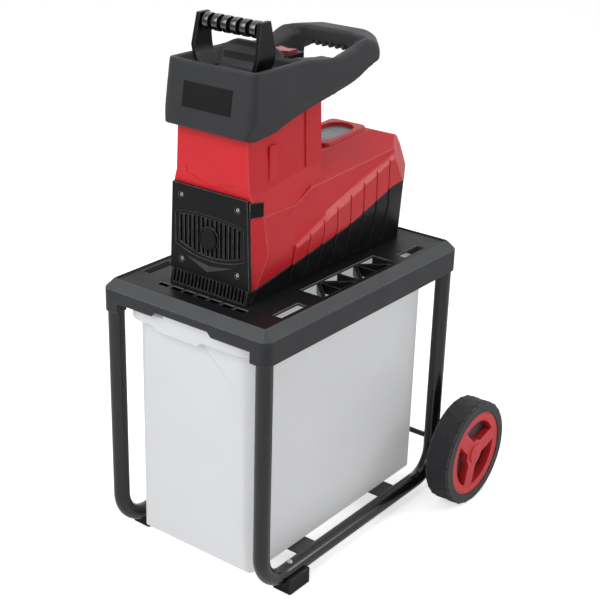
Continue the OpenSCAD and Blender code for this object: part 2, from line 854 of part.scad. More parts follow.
module table() {
    inset = rim_bevel + rim_w;
    half_w = table_w / 2 - inset;
    color("#2c2d2e") difference() {
        union() {
            difference() {
                table_form();
                table_hollow();
                front_skirt_cut();
            }
            intersection() {
                at_legs() translate([0, 0, skirt_z])
                    cylinder(r = table_corner_r, h = deck_z - skirt_z);
                table_form();
            }
        }
        at_legs() translate([0, 0, skirt_z - cut])
            cylinder(r = tube_r + sleeve_fit, h = leg_top_z - skirt_z + cut);
        translate([0, 0, deck_z]) linear_extrude(rim_rise + cut)
            round_plate([-half_w, front_y + inset], [half_w, front_y + table_d - inset], rim_w);
        front_slots();
        each_side() side_holes();
        discharge(deck_under_z - cut, rim_z + cut);
        at_housing_screws() translate([0, 0, deck_under_z - cut])
            cylinder(r = screw_r + screw_fit, h = deck_t + 2 * cut);
        at_leg_screws() bar_x(screw_r + screw_fit, -cut, table_corner_r);
    }
}

// Frame

// One bent tube along its axis, in the plane x = 0, with a given radius
module tube_path(r, top) {
    translate([0, front_leg_y, run_z + front_bend_r])
        cylinder(r = r, h = top - run_z - front_bend_r);
    translate([0, front_leg_y + front_bend_r, run_z + front_bend_r])
        rotate([0, 90, 0]) rotate([0, 0, -90])
            rotate_extrude(angle = 90) translate([front_bend_r, 0]) circle(r = r);
    translate([0, 0, run_z])
        bar_y(r, front_leg_y + front_bend_r, axle_y - rear_bend_r);
    translate([0, axle_y - rear_bend_r, run_z + rear_bend_r])
        rotate([0, 90, 0])
            rotate_extrude(angle = 90) translate([rear_bend_r, 0]) circle(r = r);
    translate([0, axle_y, run_z + rear_bend_r])
        cylinder(r = r, h = top - run_z - rear_bend_r);
}

// The two hollows pressed into the rear leg, a given distance from its axis
module leg_flats(half) {
    press = tube_r - flat_half;
    press_r = (flat_len * flat_len / 4 + press * press) / (2 * press);
    for (side = [-1, 1])
        translate([side * (half + press_r), 0, axle_z + flat_rise])
            bar_y(press_r, axle_y - tube_d, axle_y + tube_d);
}

module frame_tube() {
    color("#1f2022") difference() {
        tube_path(tube_r, leg_top_z);
        leg_flats(flat_half);
        difference() {
            tube_path(tube_r - tube_wall, leg_top_z + cut);
            leg_flats(flat_half - tube_wall);
        }
        translate([0, axle_y, axle_z]) {
            bar_x(axle_r + screw_fit, -tube_d, tube_d);
            bar_x(spacer_d / 2 + seat_gap, flat_half, tube_d);
        }
        translate([0, front_leg_y + foot_gap, 0])
            cylinder(r = screw_r + screw_fit, h = run_z + tube_d);
    }
}

// The frame tube at its place on the right, with the holes of its screws
module right_frame_tube() {
    difference() {
        translate([leg_x, 0, 0]) frame_tube();
        at_leg_screws() bar_x(screw_r + screw_fit, -cut, table_corner_r);
    }
}

module frame_tube_right() { right_frame_tube(); }

module frame_tube_left() { mirror([1, 0, 0]) right_frame_tube(); }

module crossbar(y) {
    color("#2b2724") difference() {
        block([-leg_x, y - crossbar_w / 2, run_z], [leg_x, y + crossbar_w / 2, run_z + crossbar_t]);
        for (x = [-leg_x, leg_x])
            translate([x, 0, run_z]) bar_y(tube_r, y - crossbar_w, y + crossbar_w);
    }
}

module crossbar_front() { crossbar(front_leg_y + front_crossbar_gap); }

module crossbar_rear() { crossbar(axle_y - rear_crossbar_gap); }

module foot() {
    y = front_leg_y + foot_gap;
    x = leg_x + foot_shift;
    color("#2a2b2d") difference() {
        block([x - foot_w / 2, y - foot_len / 2, 0], [x + foot_w / 2, y + foot_len / 2, run_z]);
        translate([leg_x, 0, run_z]) bar_y(tube_r, y - foot_len, y + foot_len);
        translate([leg_x, y, screw_head_h])
            cylinder(r = screw_r + screw_fit, h = run_z);
    }
}

module foot_right() { foot(); }

module foot_left() { mirror([1, 0, 0]) foot(); }

// A screw with a domed head, shank downwards from z = 0
module screw(length) {
    translate([0, 0, -length]) cylinder(r = screw_r, h = length + screw_head_h / 2);
    cylinder(r1 = screw_head_r, r2 = screw_head_r - screw_head_h / 2, h = screw_head_h);
}

module foot_screws() {
    color("#b9bcc0") each_side()
        translate([leg_x, front_leg_y + foot_gap, run_z + tube_r])
            screw(tube_d + tube_clear / 2);
}

module leg_screws() {
    color("#b9bcc0") at_leg_screws()
        rotate([0, -90, 0]) screw(table_corner_r - tube_r + tube_wall + screw_head_h);
}

module housing_screws() {
    color("#b9bcc0") at_housing_screws()
        translate([0, 0, deck_under_z]) mirror([0, 0, 1]) screw(deck_t + floor_t + cut);
}

// Wheels

axle_half = wheel_x + wheel_w - web_recess - 2 * seat_gap;

module axle() {
    color("#54575b") translate([0, axle_y, axle_z]) bar_x(axle_r, -axle_half, axle_half);
}

module axle_spacers() {
    x0 = leg_x + flat_half;
    color("#1f2022") each_side() translate([0, axle_y, axle_z]) difference() {
        bar_x(spacer_d / 2, x0, x0 + spacer_len);
        bar_x(axle_r + screw_fit, x0 - cut, x0 + spacer_len + cut);
    }
}

module axle_push_nuts() {
    x0 = wheel_x + hub_len + seat_gap;
    color("#b9bcc0") each_side() translate([0, axle_y, axle_z]) difference() {
        bar_x(axle_r + screw_head_h, x0, x0 + screw_head_h / 2);
        bar_x(axle_r + screw_fit, x0 - cut, x0 + screw_head_h);
    }
}

// Windows between the spokes
module wheel_windows() {
    reach = rim_d;
    ring_r = rim_d / 2 - rim_ring;
    window_r1 = ring_r - rim_recess;
    for (i = [0:spoke_count - 1])
        rotate([0, 0, i * 360 / spoke_count + 180 / spoke_count])
            intersection() {
                difference() {
                    cylinder(r = window_r1, h = wheel_w);
                    translate([0, 0, -cut]) cylinder(r = window_r0, h = wheel_w + 2 * cut);
                }
                linear_extrude(wheel_w) intersection() {
                    rotate(-180 / spoke_count) translate([-reach, spoke_w / 2]) square([2 * reach, reach]);
                    rotate(180 / spoke_count) translate([-reach, -spoke_w / 2 - reach])
                        square([2 * reach, reach]);
                }
            }
}

// One wheel rim, with its inner side on z = 0
module wheel_rim() {
    web_z = wheel_w - web_recess - web_t;
    color("#c22a30") difference() {
        union() {
            cylinder(r = hub_d / 2, h = hub_len);
            difference() {
                translate([0, 0, rim_recess]) cylinder(r = rim_d / 2, h = wheel_w - 2 * rim_recess);
                translate([0, 0, rim_recess - cut])
                    cylinder(r = rim_d / 2 - rim_ring, h = wheel_w + cut);
            }
            translate([0, 0, web_z]) difference() {
                cylinder(r = rim_d / 2 - rim_ring / 2, h = web_t);
                translate([0, 0, -wheel_w / 2]) wheel_windows();
            }
        }
        translate([0, 0, -cut]) cylinder(r = axle_r + axle_play, h = wheel_w);
        translate([0, 0, hub_len]) cylinder(r = hub_well_r, h = wheel_w);
    }
}

// One tyre, with its inner side on z = 0
module tyre() {
    r0 = rim_d / 2;
    r1 = wheel_d / 2;
    s = tyre_shoulder;
    color("#26272a") rotate_extrude()
        polygon([[r0, 0], [r1 - s, 0], [r1, s], [r1, wheel_w - s], [r1 - s, wheel_w], [r0, wheel_w]]);
}

// One hub cap, a disc with a slanted edge over the well in the hub
module hub_cap() {
    r = hub_d / 2 + cap_rim;
    color("#b3242a") translate([0, 0, wheel_w - web_recess])
        cylinder(r1 = r, r2 = r - cap_rim / 2, h = web_recess);
}

// Moves a wheel piece from z = 0 to its place on the right
module at_right_wheel() {
    translate([wheel_x, axle_y, axle_z]) rotate([0, 90, 0]) rotate([0, 0, 90 + wheel_turn]) children();
}

module wheel_rim_right() { at_right_wheel() wheel_rim(); }

module wheel_rim_left() { mirror([1, 0, 0]) at_right_wheel() wheel_rim(); }

module tyre_right() { at_right_wheel() tyre(); }

module tyre_left() { mirror([1, 0, 0]) at_right_wheel() tyre(); }

module hub_cap_right() { at_right_wheel() hub_cap(); }

module hub_cap_left() { mirror([1, 0, 0]) at_right_wheel() hub_cap(); }

// Collection box

box_z = run_z + crossbar_t + seat_gap;
box_top_z = rim_z - front_skirt_h - box_top_gap;
box_y = front_y + box_setback;
box_rear_y = box_y + box_len;

// A plan with one radius at the front corners and another at the rear
module two_radius_plan(half, y0, y1, front_r, rear_r) {
    mid = (y0 + y1) / 2;
    intersection() {
        round_plate([-half, y0], [half, y1 + front_r], front_r);
        translate([-half, y0]) square([2 * half, mid - y0]);
    }
    intersection() {
        round_plate([-half, y0 - rear_r], [half, y1], rear_r);
        translate([-half, mid]) square([2 * half, y1 - mid]);
    }
}

// The box as a solid, shrunk on all sides by the wall
module box_form(wall, top) {
    half = box_half_w - wall;
    low = box_z + wall;
    foot_z = box_z + box_foot;
    y0 = box_y + wall;
    y1 = box_rear_y - wall;
    foot = box_foot - wall;
    intersection() {
        prism_y(both_sides([[half - box_draft - foot, low], [half - box_draft, foot_z],
            [half, box_top_z], [half, top]]), y0, y1);
        prism_x([[y0 + box_front_draft + foot, low], [y1 - foot, low], [y1, foot_z], [y1, top],
            [y0, top], [y0, box_top_z], [y0 + box_front_draft, foot_z]], -half, half);
        translate([0, 0, low]) linear_extrude(top - low)
            two_radius_plan(half, y0, y1, box_corner_r - wall, box_rear_r - wall);
    }
}

// The lip round the box's top, shrunk on all sides by the wall
module lip_form(wall, low, high) {
    translate([0, 0, low]) linear_extrude(high - low)
        two_radius_plan(box_half_w + lip_over - wall, box_y - lip_front + wall,
            box_rear_y + lip_over - wall, box_corner_r - wall, box_rear_r - wall);
}

// The pull under the front lip, shrunk by the wall
module pull_form(wall, low, high) {
    half = pull_w / 2 - wall;
    translate([-pull_shift, 0, 0])
        prism_y(both_sides([[half - pull_h, low], [half, low + pull_h], [half, high]]),
            box_y - lip_front + wall, box_y + box_front_draft);
}

// The tab on the front lip that fills the notch of the table's skirt
module notch_tab() {
    half = front_notch_w / 2 - 4 * tab_gap;
    y = box_y - lip_front;
    block([-half, y, box_top_z - box_wall], [half, y + 2 * box_wall, rim_z - front_notch_h - tab_gap]);
}

module collection_box() {
    lip_z = box_top_z - lip_h;
    pull_z = lip_z - pull_h;
    color("#e4e5e8") difference() {
        union() {
            box_form(0, box_top_z);
            lip_form(0, lip_z, box_top_z);
            pull_form(0, pull_z, box_top_z);
            notch_tab();
        }
        difference() {
            union() {
                lip_form(box_wall, lip_z - cut, box_top_z - box_wall);
                pull_form(box_wall, pull_z - cut, box_top_z - box_wall);
            }
            box_form(0, box_top_z);
        }
        box_form(box_wall, box_top_z + cut);
    }
}

// Housing

// Half width of the tower between the deck and its widest line
function tower_w(z) = base_half_w + (tower_half_w - base_half_w) * (z - deck_z) / tower_waist_h;

// Half width of the motor skirt between the deck and its full width
function skirt_w(z) = base_half_w + (skirt_half_w - base_half_w) * (z - deck_z) / tower_waist_h;

// The front tower and neck, shrunk on all sides
module tower(inset, low, high) {
    deep = 2 * corner_run;
    intersection() {
        prism_y(both_sides([[tower_w(low) - inset, low], [tower_half_w - inset, deck_z + tower_waist_h],
            [flare_half_w - inset, deck_z + flare_h], [neck_half_w - inset, deck_z + neck_foot_h],
            [neck_top_half_w - inset, neck_top_z], [neck_top_half_w - inset, high]]),
            body_y + inset, neck_rear_y - inset);
        translate([0, 0, low]) linear_extrude(high - low)
            polygon(both_sides([[front_half_w - inset, body_y], [front_half_w - inset, body_y + inset],
                [front_half_w + 2 * corner_step - inset, body_y + deep + inset],
                [front_half_w + 2 * corner_step - inset, neck_rear_y]]));
    }
}

// Middle of the hump, where its crease and ridge are measured
hump_mid_y = (skirt_y + body_rear_y) / 2;

// The motor hump and its skirt, shrunk on all sides
module hump(inset, low) {
    crease = crease_h - ridge_h;
    reach = body_len;
    rear_y = body_rear_y - inset;
    high = ridge_z + reach / 4;
    intersection() {
        prism_y(both_sides([[skirt_w(low) - inset, low],
            [skirt_half_w - inset, deck_z + tower_waist_h], [skirt_half_w - inset, high]]),
            skirt_y + inset, rear_y);
        translate([0, hump_mid_y, ridge_z]) rotate([ridge_angle, 0, 0])
            prism_y(both_sides([[skirt_half_w, -reach], [skirt_half_w, crease - inset],
                [hump_half_w - inset, crease - inset / 2], [ridge_half_w - inset / 2, -inset]]),
                -reach, reach);
        translate([0, skirt_y, deck_z + shoulder_h]) rotate([shoulder_angle, 0, 0])
            prism_y(both_sides([[skirt_half_w - inset, -reach], [skirt_half_w - inset, 0],
                [hump_half_w - inset, shoulder_band], [hump_half_w - inset, reach]]),
                -reach, 2 * reach);
        prism_x(hump_side(inset, low, high), -skirt_half_w, skirt_half_w);
        rear_corners(inset, 0, -rear_corner_lean);
        rear_corners(inset, rear_h, crown_lean);
    }
}

// A tall prism with the hump's tapered rear corners, tilted about a line at a given height
module rear_corners(inset, height, tilt) {
    reach = body_len;
    half = skirt_half_w - inset;
    rear_half = rear_half_w - inset;
    translate([0, body_rear_y + height * tan(rear_corner_lean), deck_z + height]) rotate([tilt, 0, 0])
        translate([0, 0, -reach]) linear_extrude(2 * reach)
            polygon(both_sides([[half, -2 * reach], [half, -rear_taper], [rear_half, 0],
                [rear_half, reach]]));
}

// Side view of the hump: it grows out of the tower and ends in a crowned rear
function hump_side(inset, low, high) =
    let (rear_y = body_rear_y - inset, z = deck_z - inset)
    [[skirt_y, low], [rear_y, low], [rear_y, z + rear_h], [rear_y - crown_low_d, z + crown_low_h],
        [rear_y - crown_high_d, z + crown_high_h], [rear_y - crown_top_d, z + ridge_h + frame_rise],
        [rear_y - crown_top_d - blend_d, high],
        [skirt_y + blend_d, high], [skirt_y + blend_d, z + crease_h], [skirt_y, z + flare_h]];

// Everything above the seam
module above_seam(lift) {
    z = deck_z + lift;
    front_drop = far * seam_h / seam_mid_d;
    prism_x([[body_y - far, z + seam_h - front_drop], [body_y, z + seam_h],
        [body_y + seam_mid_d, z + seam_mid_h], [body_y + seam_rear_d, z + seam_rear_h],
        [body_rear_y, z + seam_end_h], [body_rear_y + far, z + seam_end_h],
        [body_rear_y + far, z + far], [body_y - far, z + far]], -far, far);
}

// Grooves down both sides of the motor skirt
module side_grooves() {
    difference() {
        for (i = [0:groove_count - 1])
            translate([0, skirt_y + groove_start + i * groove_pitch, 0])
                block([-far / 2, -groove_w / 2, deck_z + ledge_h / 2], [far / 2, groove_w / 2, ridge_z]);
        hump(groove_depth, deck_z);
        translate([0, skirt_y, deck_z + shoulder_h + shoulder_band / 3])
            rotate([shoulder_angle, 0, 0])
                block([-far, -far, 0], [far, far, far]);
    }
}

// Outer form of the whole housing
module housing_form() {
    union() {
        tower(0, deck_z, neck_top_z);
        difference() {
            hump(0, deck_z);
            side_grooves();
        }
    }
}

// Space inside the housing
module housing_space() {
    union() {
        tower(shell_wall, deck_z + floor_t, neck_top_z + cut);
        hump(shell_wall, deck_z + floor_t);
    }
}

// Raised frame round the rating plate on the ridge
module plate_frame() {
    translate([0, hump_mid_y, ridge_z]) rotate([ridge_angle, 0, 0])
        translate([0, plate_shift, -shell_wall]) linear_extrude(shell_wall + frame_rise)
            round_plate([-frame_half_w, -frame_half_d], [frame_half_w, frame_half_d], frame_r);
}

// Room of the rating plate in its frame, a little larger than the plate
module plate_field(gap, low, high) {
    half_w = frame_half_w - frame_wall + gap;
    half_d = frame_half_d - frame_wall + gap;
    translate([0, hump_mid_y, ridge_z]) rotate([ridge_angle, 0, 0])
        translate([0, plate_shift, low]) linear_extrude(high - low)
            round_plate([-half_w, -half_d], [half_w, half_d], half_w - cut);
}

// Pilasters at the neck's rear corners
module pilasters() {
    foot_z = deck_z + neck_foot_h;
    intersection() {
        each_side() block([neck_half_w / 2, neck_rear_y - pilaster_d, foot_z],
            [neck_half_w + pilaster_t, neck_rear_y + pilaster_t, neck_top_z]);
        tower(-pilaster_t, deck_z, neck_top_z);
    }
}

// Opening round the adjusting screw
module adjust_opening(r) {
    translate([0, chute_mid_y, roller_z]) bar_x(r, -far / 2, chamber_x0);
}

// Holes of the front cover's screws, along Y
module at_cover_screws() {
    top = deck_z + cover_top_h - cover_screw_inset;
    foot = deck_z + seam_h + cover_screw_inset + cover_screw_r;
    for (side = [-1, 1])
        for (z = [foot, top])
            translate([side * (cover_top_half_w - cover_screw_inset), body_y, z]) children();
}

module upper_housing() {
    color("#c5292f") difference() {
        intersection() {
            difference() {
                union() {
                    housing_form();
                    pilasters();
                    plate_frame();
                }
                housing_space();
            }
            above_seam(seam_gap / 2);
        }
        plate_field(seat_gap, -plate_t, frame_rise + cut);
        adjust_opening(adjust_r + 2 * cut);
        at_cover_screws() bar_y(screw_r, -cut, shell_wall + cut);
    }
}

// Ledge with the row of vents below the front cover
module vent_ledge() {
    pitch = 2 * base_half_w / (ledge_slots + 1);
    half = base_half_w - pitch / 2;
    difference() {
        prism_x([[body_y - ledge_d, deck_z], [body_y + shell_wall, deck_z],
            [body_y + shell_wall, deck_z + seam_h - seam_gap],
            [body_y - seam_gap, deck_z + seam_h - seam_gap],
            [body_y - seam_gap, deck_z + ledge_h - seam_gap],
            [body_y - ledge_d / 2, deck_z + ledge_h - seam_gap]], -base_half_w, base_half_w);
        for (i = [0:ledge_slots - 1])
            translate([-half + (i + 1 / 2) * pitch, 0, 0])
                block([-ledge_slot_w / 2, body_y - ledge_d - cut, deck_z + floor_t],
                    [ledge_slot_w / 2, body_y - ledge_d / 3, deck_z + ledge_h + cut]);
    }
}

// Ribs that carry the motor
module motor_cradle() {
    difference() {
        intersection() {
            union() {
                for (y = [case_rear_y + motor_len / 4, motor_rear_y - motor_len / 4])
                    block([-motor_r, y - shell_wall, deck_z + floor_t / 2],
                        [motor_r, y + shell_wall, roller_z - motor_r / 2]);
            }
            hump(shell_wall / 2, deck_z);
        }
        translate([0, 0, roller_z]) bar_y(motor_r, case_rear_y, motor_rear_y);
    }
}

module lower_housing() {
    inlet_z = deck_z + inlet_h;
    color("#1d1e20") difference() {
        union() {
            difference() {
                housing_form();
                housing_space();
                above_seam(-seam_gap / 2);
            }
            vent_ledge();
            motor_cradle();
        }
        discharge(deck_z - cut, deck_z + floor_t + cut);
        at_housing_screws() translate([0, 0, deck_z - cut])
            cylinder(r = screw_r + screw_fit, h = floor_t + 2 * cut);
        translate([0, 0, inlet_z]) bar_y(inlet_r + seat_gap, body_rear_y - inlet_len - cut, body_rear_y + cut);
    }
}

// Front cover

// Outline of the front cover
cover_foot_z = deck_z + ledge_h + seam_gap;
cover_top_z = deck_z + cover_top_h;
grille_z = roller_z;

module cover_tabs() {
    z1 = cover_top_z - cover_screw_inset / 4;
    gap = 2 * seat_gap;
    x0 = cover_top_half_w - tab_t;
    face = body_y - seat_gap;
    x1 = front_half_w + gap + tab_d * corner_step / corner_run;
    each_side() translate([0, 0, z1 - tab_h]) linear_extrude(tab_h)
        polygon([[x0, face - cover_t / 2], [front_half_w, face - cover_t / 2],
            [x1 + tab_t, body_y + tab_d], [x1, body_y + tab_d],
            [front_half_w + gap, face], [x0, face]]);
}

// Field of the grille, barrel-shaped, as a flat shape
module grille_field(gap) {
    half_h = grille_h / 2 - gap;
    half_w = grille_half_w - gap;
    top_r = (half_w * half_w + grille_arch * grille_arch) / (2 * grille_arch);
    low_r = (half_w * half_w + grille_sag * grille_sag) / (2 * grille_sag);
    translate([0, grille_z]) intersection() {
        round_plate([-half_w, -half_h], [half_w, half_h], half_h / 3);
        translate([0, half_h - top_r]) circle(r = top_r);
        translate([0, low_r - half_h]) circle(r = low_r);
    }
}

// Slots of the grille, as flat shapes
module grille_bars() {
    pitch = 2 * (grille_half_w - grille_slot_w) / grille_slots;
    intersection() {
        grille_field(grille_slot_w);
        for (i = [0:grille_slots - 1])
            translate([(i + 1 / 2 - grille_slots / 2) * pitch - grille_slot_w / 2, grille_z - grille_h])
                square([grille_slot_w, 2 * grille_h]);
    }
}

module front_cover() {
    y0 = body_y - seat_gap - cover_t;
    y1 = body_y - seat_gap;
    color("#1b1c1e") difference() {
        union() {
            difference() {
                prism_y(both_sides([[cover_half_w, cover_foot_z], [cover_top_half_w, cover_top_z]]), y0, y1);
                translate([0, y0 + grille_depth, 0]) rotate([90, 0, 0])
                    linear_extrude(2 * grille_depth) grille_field(0);
                translate([0, y1 - grille_back, 0]) rotate([90, 0, 0])
                    linear_extrude(cover_t) grille_bars();
            }
            translate([0, 0, grille_z]) bar_y(boss_r, y0, y1);
            cover_tabs();
        }
        at_cover_screws() bar_y(screw_r + screw_fit, -cover_t - cut, cut);
        at_cover_screws() bar_y(cover_screw_r + screw_fit, -cover_t - 2 * cut, -cover_t / 2);
    }
}

module cover_screws() {
    color("#7c7f83") at_cover_screws() {
        bar_y(screw_r, -cover_t / 2 - cut, shell_wall);
        difference() {
            bar_y(cover_screw_r, -cover_t / 2 - screw_head_h, -cover_t / 2);
            for (a = [0, 90])
                rotate([0, a, 0]) block([-screw_head_h, -cover_t, -cut / 2],
                    [screw_head_h, -cover_t / 2 - screw_head_h / 2, cut / 2]);
        }
    }
}

module rating_plate() {
    color("#8f9aa6") plate_field(0, -plate_t, 0);
}

// Hopper

// A line of points with its corners cut, so that it bends more gently
function eased(p) = concat([p[0]],
    [for (i = [0:len(p) - 2]) each [(3 * p[i] + p[i + 1]) / 4, (p[i] + 3 * p[i + 1]) / 4]],
    [p[len(p) - 1]]);

// Underside of the hopper from the keel to the grip, in side view
function hopper_under() = [[body_y + keel_d, hopper_z],
    [body_y + keel_d + under_neck_h, hopper_z + under_neck_h / 2],
    [neck_rear_y - pilaster_d / 2, hopper_z + under_neck_h],
    [panel_rear_y + loop_len / 2, hopper_z + under_arm_h],
    [loop_rear_y, hopper_z + under_grip_h],
    [hopper_rear_y - scallop_r / 2, grip_top_z - grip_bar_h - 2 * scallop_r],
    [hopper_rear_y, grip_top_z - grip_bar_h / 2]];

// Round rear of the grip, in side view
function grip_round() = let (r = grip_bar_h / 2)
    [for (i = [0:grip_steps]) let (a = 90 * i / grip_steps)
        [hopper_rear_y - r + r * cos(a), grip_top_z - r + r * sin(a)]];

// Top of the arms from the grip to the mouth, in side view
function hopper_top() = [[loop_rear_y, grip_top_z],
    [loop_rear_y - loop_len / 4, grip_top_z - scallop_r / 2], [panel_rear_y + loop_len / 2, rim_top_z - arm_dip / 2],
    [panel_rear_y, rim_top_z - arm_dip], [mouth_rear_y, rim_top_z]];

// Side view of the hopper, from its lower front round under the loop
function hopper_side() = concat([[hopper_y + hopper_lean, rim_top_z], [hopper_y, hopper_z + lip_round],
    [hopper_y + 3 * lip_round, hopper_z]], eased(eased(hopper_under())), grip_round(),
    eased(eased(hopper_top())));

module hopper_form() {
    lean = atan(hopper_lean / (hopper_h - lip_round));
    intersection() {
        prism_x(hopper_side(), -hopper_half_w, hopper_half_w);
        prism_y(both_sides([[hopper_half_w, hopper_z], [hopper_rim_half_w, rim_top_z],
            [hopper_rim_half_w, grip_top_z]]), hopper_y, hopper_rear_y);
        translate([0, hopper_y, hopper_z + lip_round]) rotate([-lean, 0, 0])
            translate([0, 0, -far]) linear_extrude(2 * far)
                round_plate([-hopper_half_w, 0], [hopper_half_w, far], hopper_corner_r);
        translate([0, 0, hopper_z]) linear_extrude(grip_top_z - hopper_z)
            round_plate([-hopper_rim_half_w - hopper_wall, hopper_y - far],
                [hopper_rim_half_w + hopper_wall, hopper_rear_y], loop_corner_r + hopper_wall);
    }
}

// Funnel from the mouth to the chute
module funnel() {
    half = hopper_rim_half_w - hopper_wall;
    low = funnel_z;
    intersection() {
        prism_y(both_sides([[chamber_x1 + flange_over, low], [half, rim_top_z], [half, rim_top_z + far]]),
            mouth_y - cut, mouth_rear_y + cut);
        prism_x([[chute_y0 - flange_over, low], [chute_y1 + flange_over, low], [mouth_rear_y, rim_top_z],
            [mouth_rear_y, rim_top_z + far], [mouth_y, rim_top_z + far], [mouth_y, rim_top_z]], -half, half);
    }
}

// Hood over the rear of the mouth, with a dark window below it
module hood() {
    left = hopper_rim_half_w - hopper_wall / 2;
    half = (left + hood_right) / 2;
    arch_r = (half * half + hood_rise * hood_rise) / (2 * hood_rise);
    y0 = mouth_rear_y - hood_d / 2;
    translate([hood_right - half, 0, 0]) intersection() {
        translate([0, 0, rim_top_z + hood_rise - arch_r]) bar_y(arch_r, y0, y0 + hood_d);
        block([-half, y0, rim_top_z - hopper_wall], [half, y0 + hood_d, grip_top_z + cut]);
    }
}

// Slants over the loop's rear corners
module loop_corner_cuts() {
    each_side() translate([loop_half_w, loop_rear_y + grip_bar_d / 4, grip_top_z]) rotate([0, 0, loop_cut_turn]) {
        rotate([0, loop_cut_lean, 0]) block([-far, -far, 0], [far, far, far]);
        translate([loop_cut_step, 0, 0]) rotate([0, loop_cut_steep, 0]) block([-far, -far, 0], [far, far, far]);
    }
}

// Opening of the loop for the hand
module loop_gap() {
    translate([0, 0, hopper_z - cut]) linear_extrude(far)
        round_plate([-loop_half_w, panel_rear_y], [loop_half_w, loop_rear_y], loop_corner_r / 2);
}

// Slanted inner top edges of the arms, rising towards the grip
module arm_slants() {
    translate([0, panel_rear_y - arm_dip, rim_top_z - arm_dip]) rotate([arm_angle, 0, 0])
        prism_y(both_sides([[loop_half_w - cut, -arm_slant], [loop_half_w, -arm_slant],
            [hopper_rim_half_w - 2 * cut, 0], [hopper_rim_half_w - 2 * cut, arm_slant]]),
            arm_dip, loop_len);
}

// Room for the fingers under the grip bar
module grip_room() {
    block([-loop_half_w, loop_rear_y - cut, hopper_z],
        [loop_half_w, hopper_rear_y + cut, grip_top_z - grip_bar_h]);
}

module grip_scallops() {
    pitch = 2 * (loop_half_w - scallop_r) / scallop_count;
    z = grip_top_z - grip_bar_h - scallop_r + scallop_depth;
    for (i = [0:scallop_count - 1])
        translate([(i + 1 / 2 - scallop_count / 2) * pitch, 0, z])
            bar_y(scallop_r, loop_rear_y - cut, loop_rear_y + grip_bar_d / 2);
}

// Socket for the neck's top
module neck_socket() {
    half = neck_half_w + pilaster_t;
    block([-half - neck_fit, body_y - neck_fit, hopper_z - cut],
        [half + neck_fit, neck_rear_y + pilaster_t + neck_fit, neck_top_z + neck_fit]);
}

module hopper() {
    color("#35373a") difference() {
        union() {
            difference() {
                hopper_form();
                block([-loop_half_w, mouth_rear_y, panel_z], [loop_half_w, panel_rear_y, far + rim_top_z]);
            }
            hood();
        }
        funnel();
        loop_gap();
        loop_corner_cuts();
        arm_slants();
        grip_room();
        grip_scallops();
        neck_socket();
        block([chamber_x0 - chute_wall - neck_fit, chute_y0 - chute_wall - neck_fit, hopper_z - cut],
            [chamber_x1 + chute_wall + neck_fit, chute_y1 + chute_wall + neck_fit, funnel_z - flange_t]);
        discharge(hopper_z, funnel_z + cut);
    }
}

module front_plate() {
    lean = atan(hopper_lean / (hopper_h - lip_round));
    z = hopper_z + (hopper_h + lip_round) / 2;
    y = hopper_y + hopper_lean / 2;
    color("#101113") translate([0, y, z]) rotate([-lean, 0, 0])
        block([-plate_w / 2, -plate_t, -plate_h / 2], [plate_w / 2, 0, plate_h / 2]);
}

// Pusher

pusher_z = funnel_z + seat_gap;
pusher_top_z = pusher_z + pusher_h;
grip_z = pusher_top_z - pusher_grip_r - pusher_rib_h;
grip_half = pusher_top_half_w - pusher_plate_t;
grip_pin = grip_half + pusher_plate_t * 2 / 3;
ram_half_w = chute_w / 2 - ram_play;
ram_half_d = chute_d / 2 - ram_play;

module pusher_body() {
    t = pusher_plate_t;
    root = pusher_root_half_w;
    waist_z = pusher_z + pusher_waist_h;
    turn_z = pusher_z + pusher_turn_h;
    flange_half = chute_w / 2 + flange_over - seat_gap * 2;
    flange_d = chute_d / 2 + flange_over - seat_gap * 2;
    color("#17181a") difference() {
        union() {
            intersection() {
                each_side() prism_y([[pusher_top_half_w - t, pusher_top_z], [pusher_half_w - t, waist_z],
                    [pusher_half_w - 3 / 2 * t, turn_z], [root - t, pusher_z], [root, pusher_z],
                    [pusher_half_w - t / 2, turn_z], [pusher_half_w, waist_z],
                    [pusher_top_half_w, pusher_top_z]], chute_y0, chute_y1);
                translate([0, chute_mid_y, 0]) prism_x(both_sides([[pusher_foot_d / 2, pusher_z],
                    [pusher_foot_d / 2, waist_z], [pusher_top_d / 2, pusher_top_z]]),
                    -pusher_half_w, pusher_half_w);
            }
            block([-flange_half, chute_mid_y - flange_d, pusher_z],
                [flange_half, chute_mid_y + flange_d, pusher_z + flange_t]);
            block([-ram_half_w, chute_mid_y - ram_half_d, pusher_z - ram_len],
                [ram_half_w, chute_mid_y + ram_half_d, pusher_z]);
        }
        block([-ram_half_w + ram_wall, chute_mid_y - ram_half_d + ram_wall, pusher_z - ram_len + ram_wall],
            [ram_half_w - ram_wall, chute_mid_y + ram_half_d - ram_wall, pusher_z]);
        translate([0, chute_mid_y, grip_z]) bar_x(pusher_grip_r / 2, -grip_pin, grip_pin);
    }
}

module pusher_grip() {
    pitch = 2 * grip_half / pusher_rib_count;
    color("#232528") translate([0, chute_mid_y, grip_z]) {
        bar_x(pusher_grip_r, -grip_half, grip_half);
        bar_x(pusher_grip_r / 2, -grip_pin, grip_pin);
        for (i = [0:pusher_rib_count - 1])
            translate([(i + 1 / 2 - pusher_rib_count / 2) * pitch, 0, 0])
                bar_x(pusher_grip_r + pusher_rib_h, -pusher_rib_w / 2, pusher_rib_w / 2);
    }
}

// Cutting unit

module feed_chute() {
    w = chute_wall;
    color("#3a3c3f") difference() {
        block([chamber_x0 - w, chute_y0 - w, chamber_top_z],
            [chamber_x1 + w, chute_y1 + w, funnel_z - flange_t - seat_gap]);
        discharge(chamber_top_z - cut, funnel_z);
    }
}

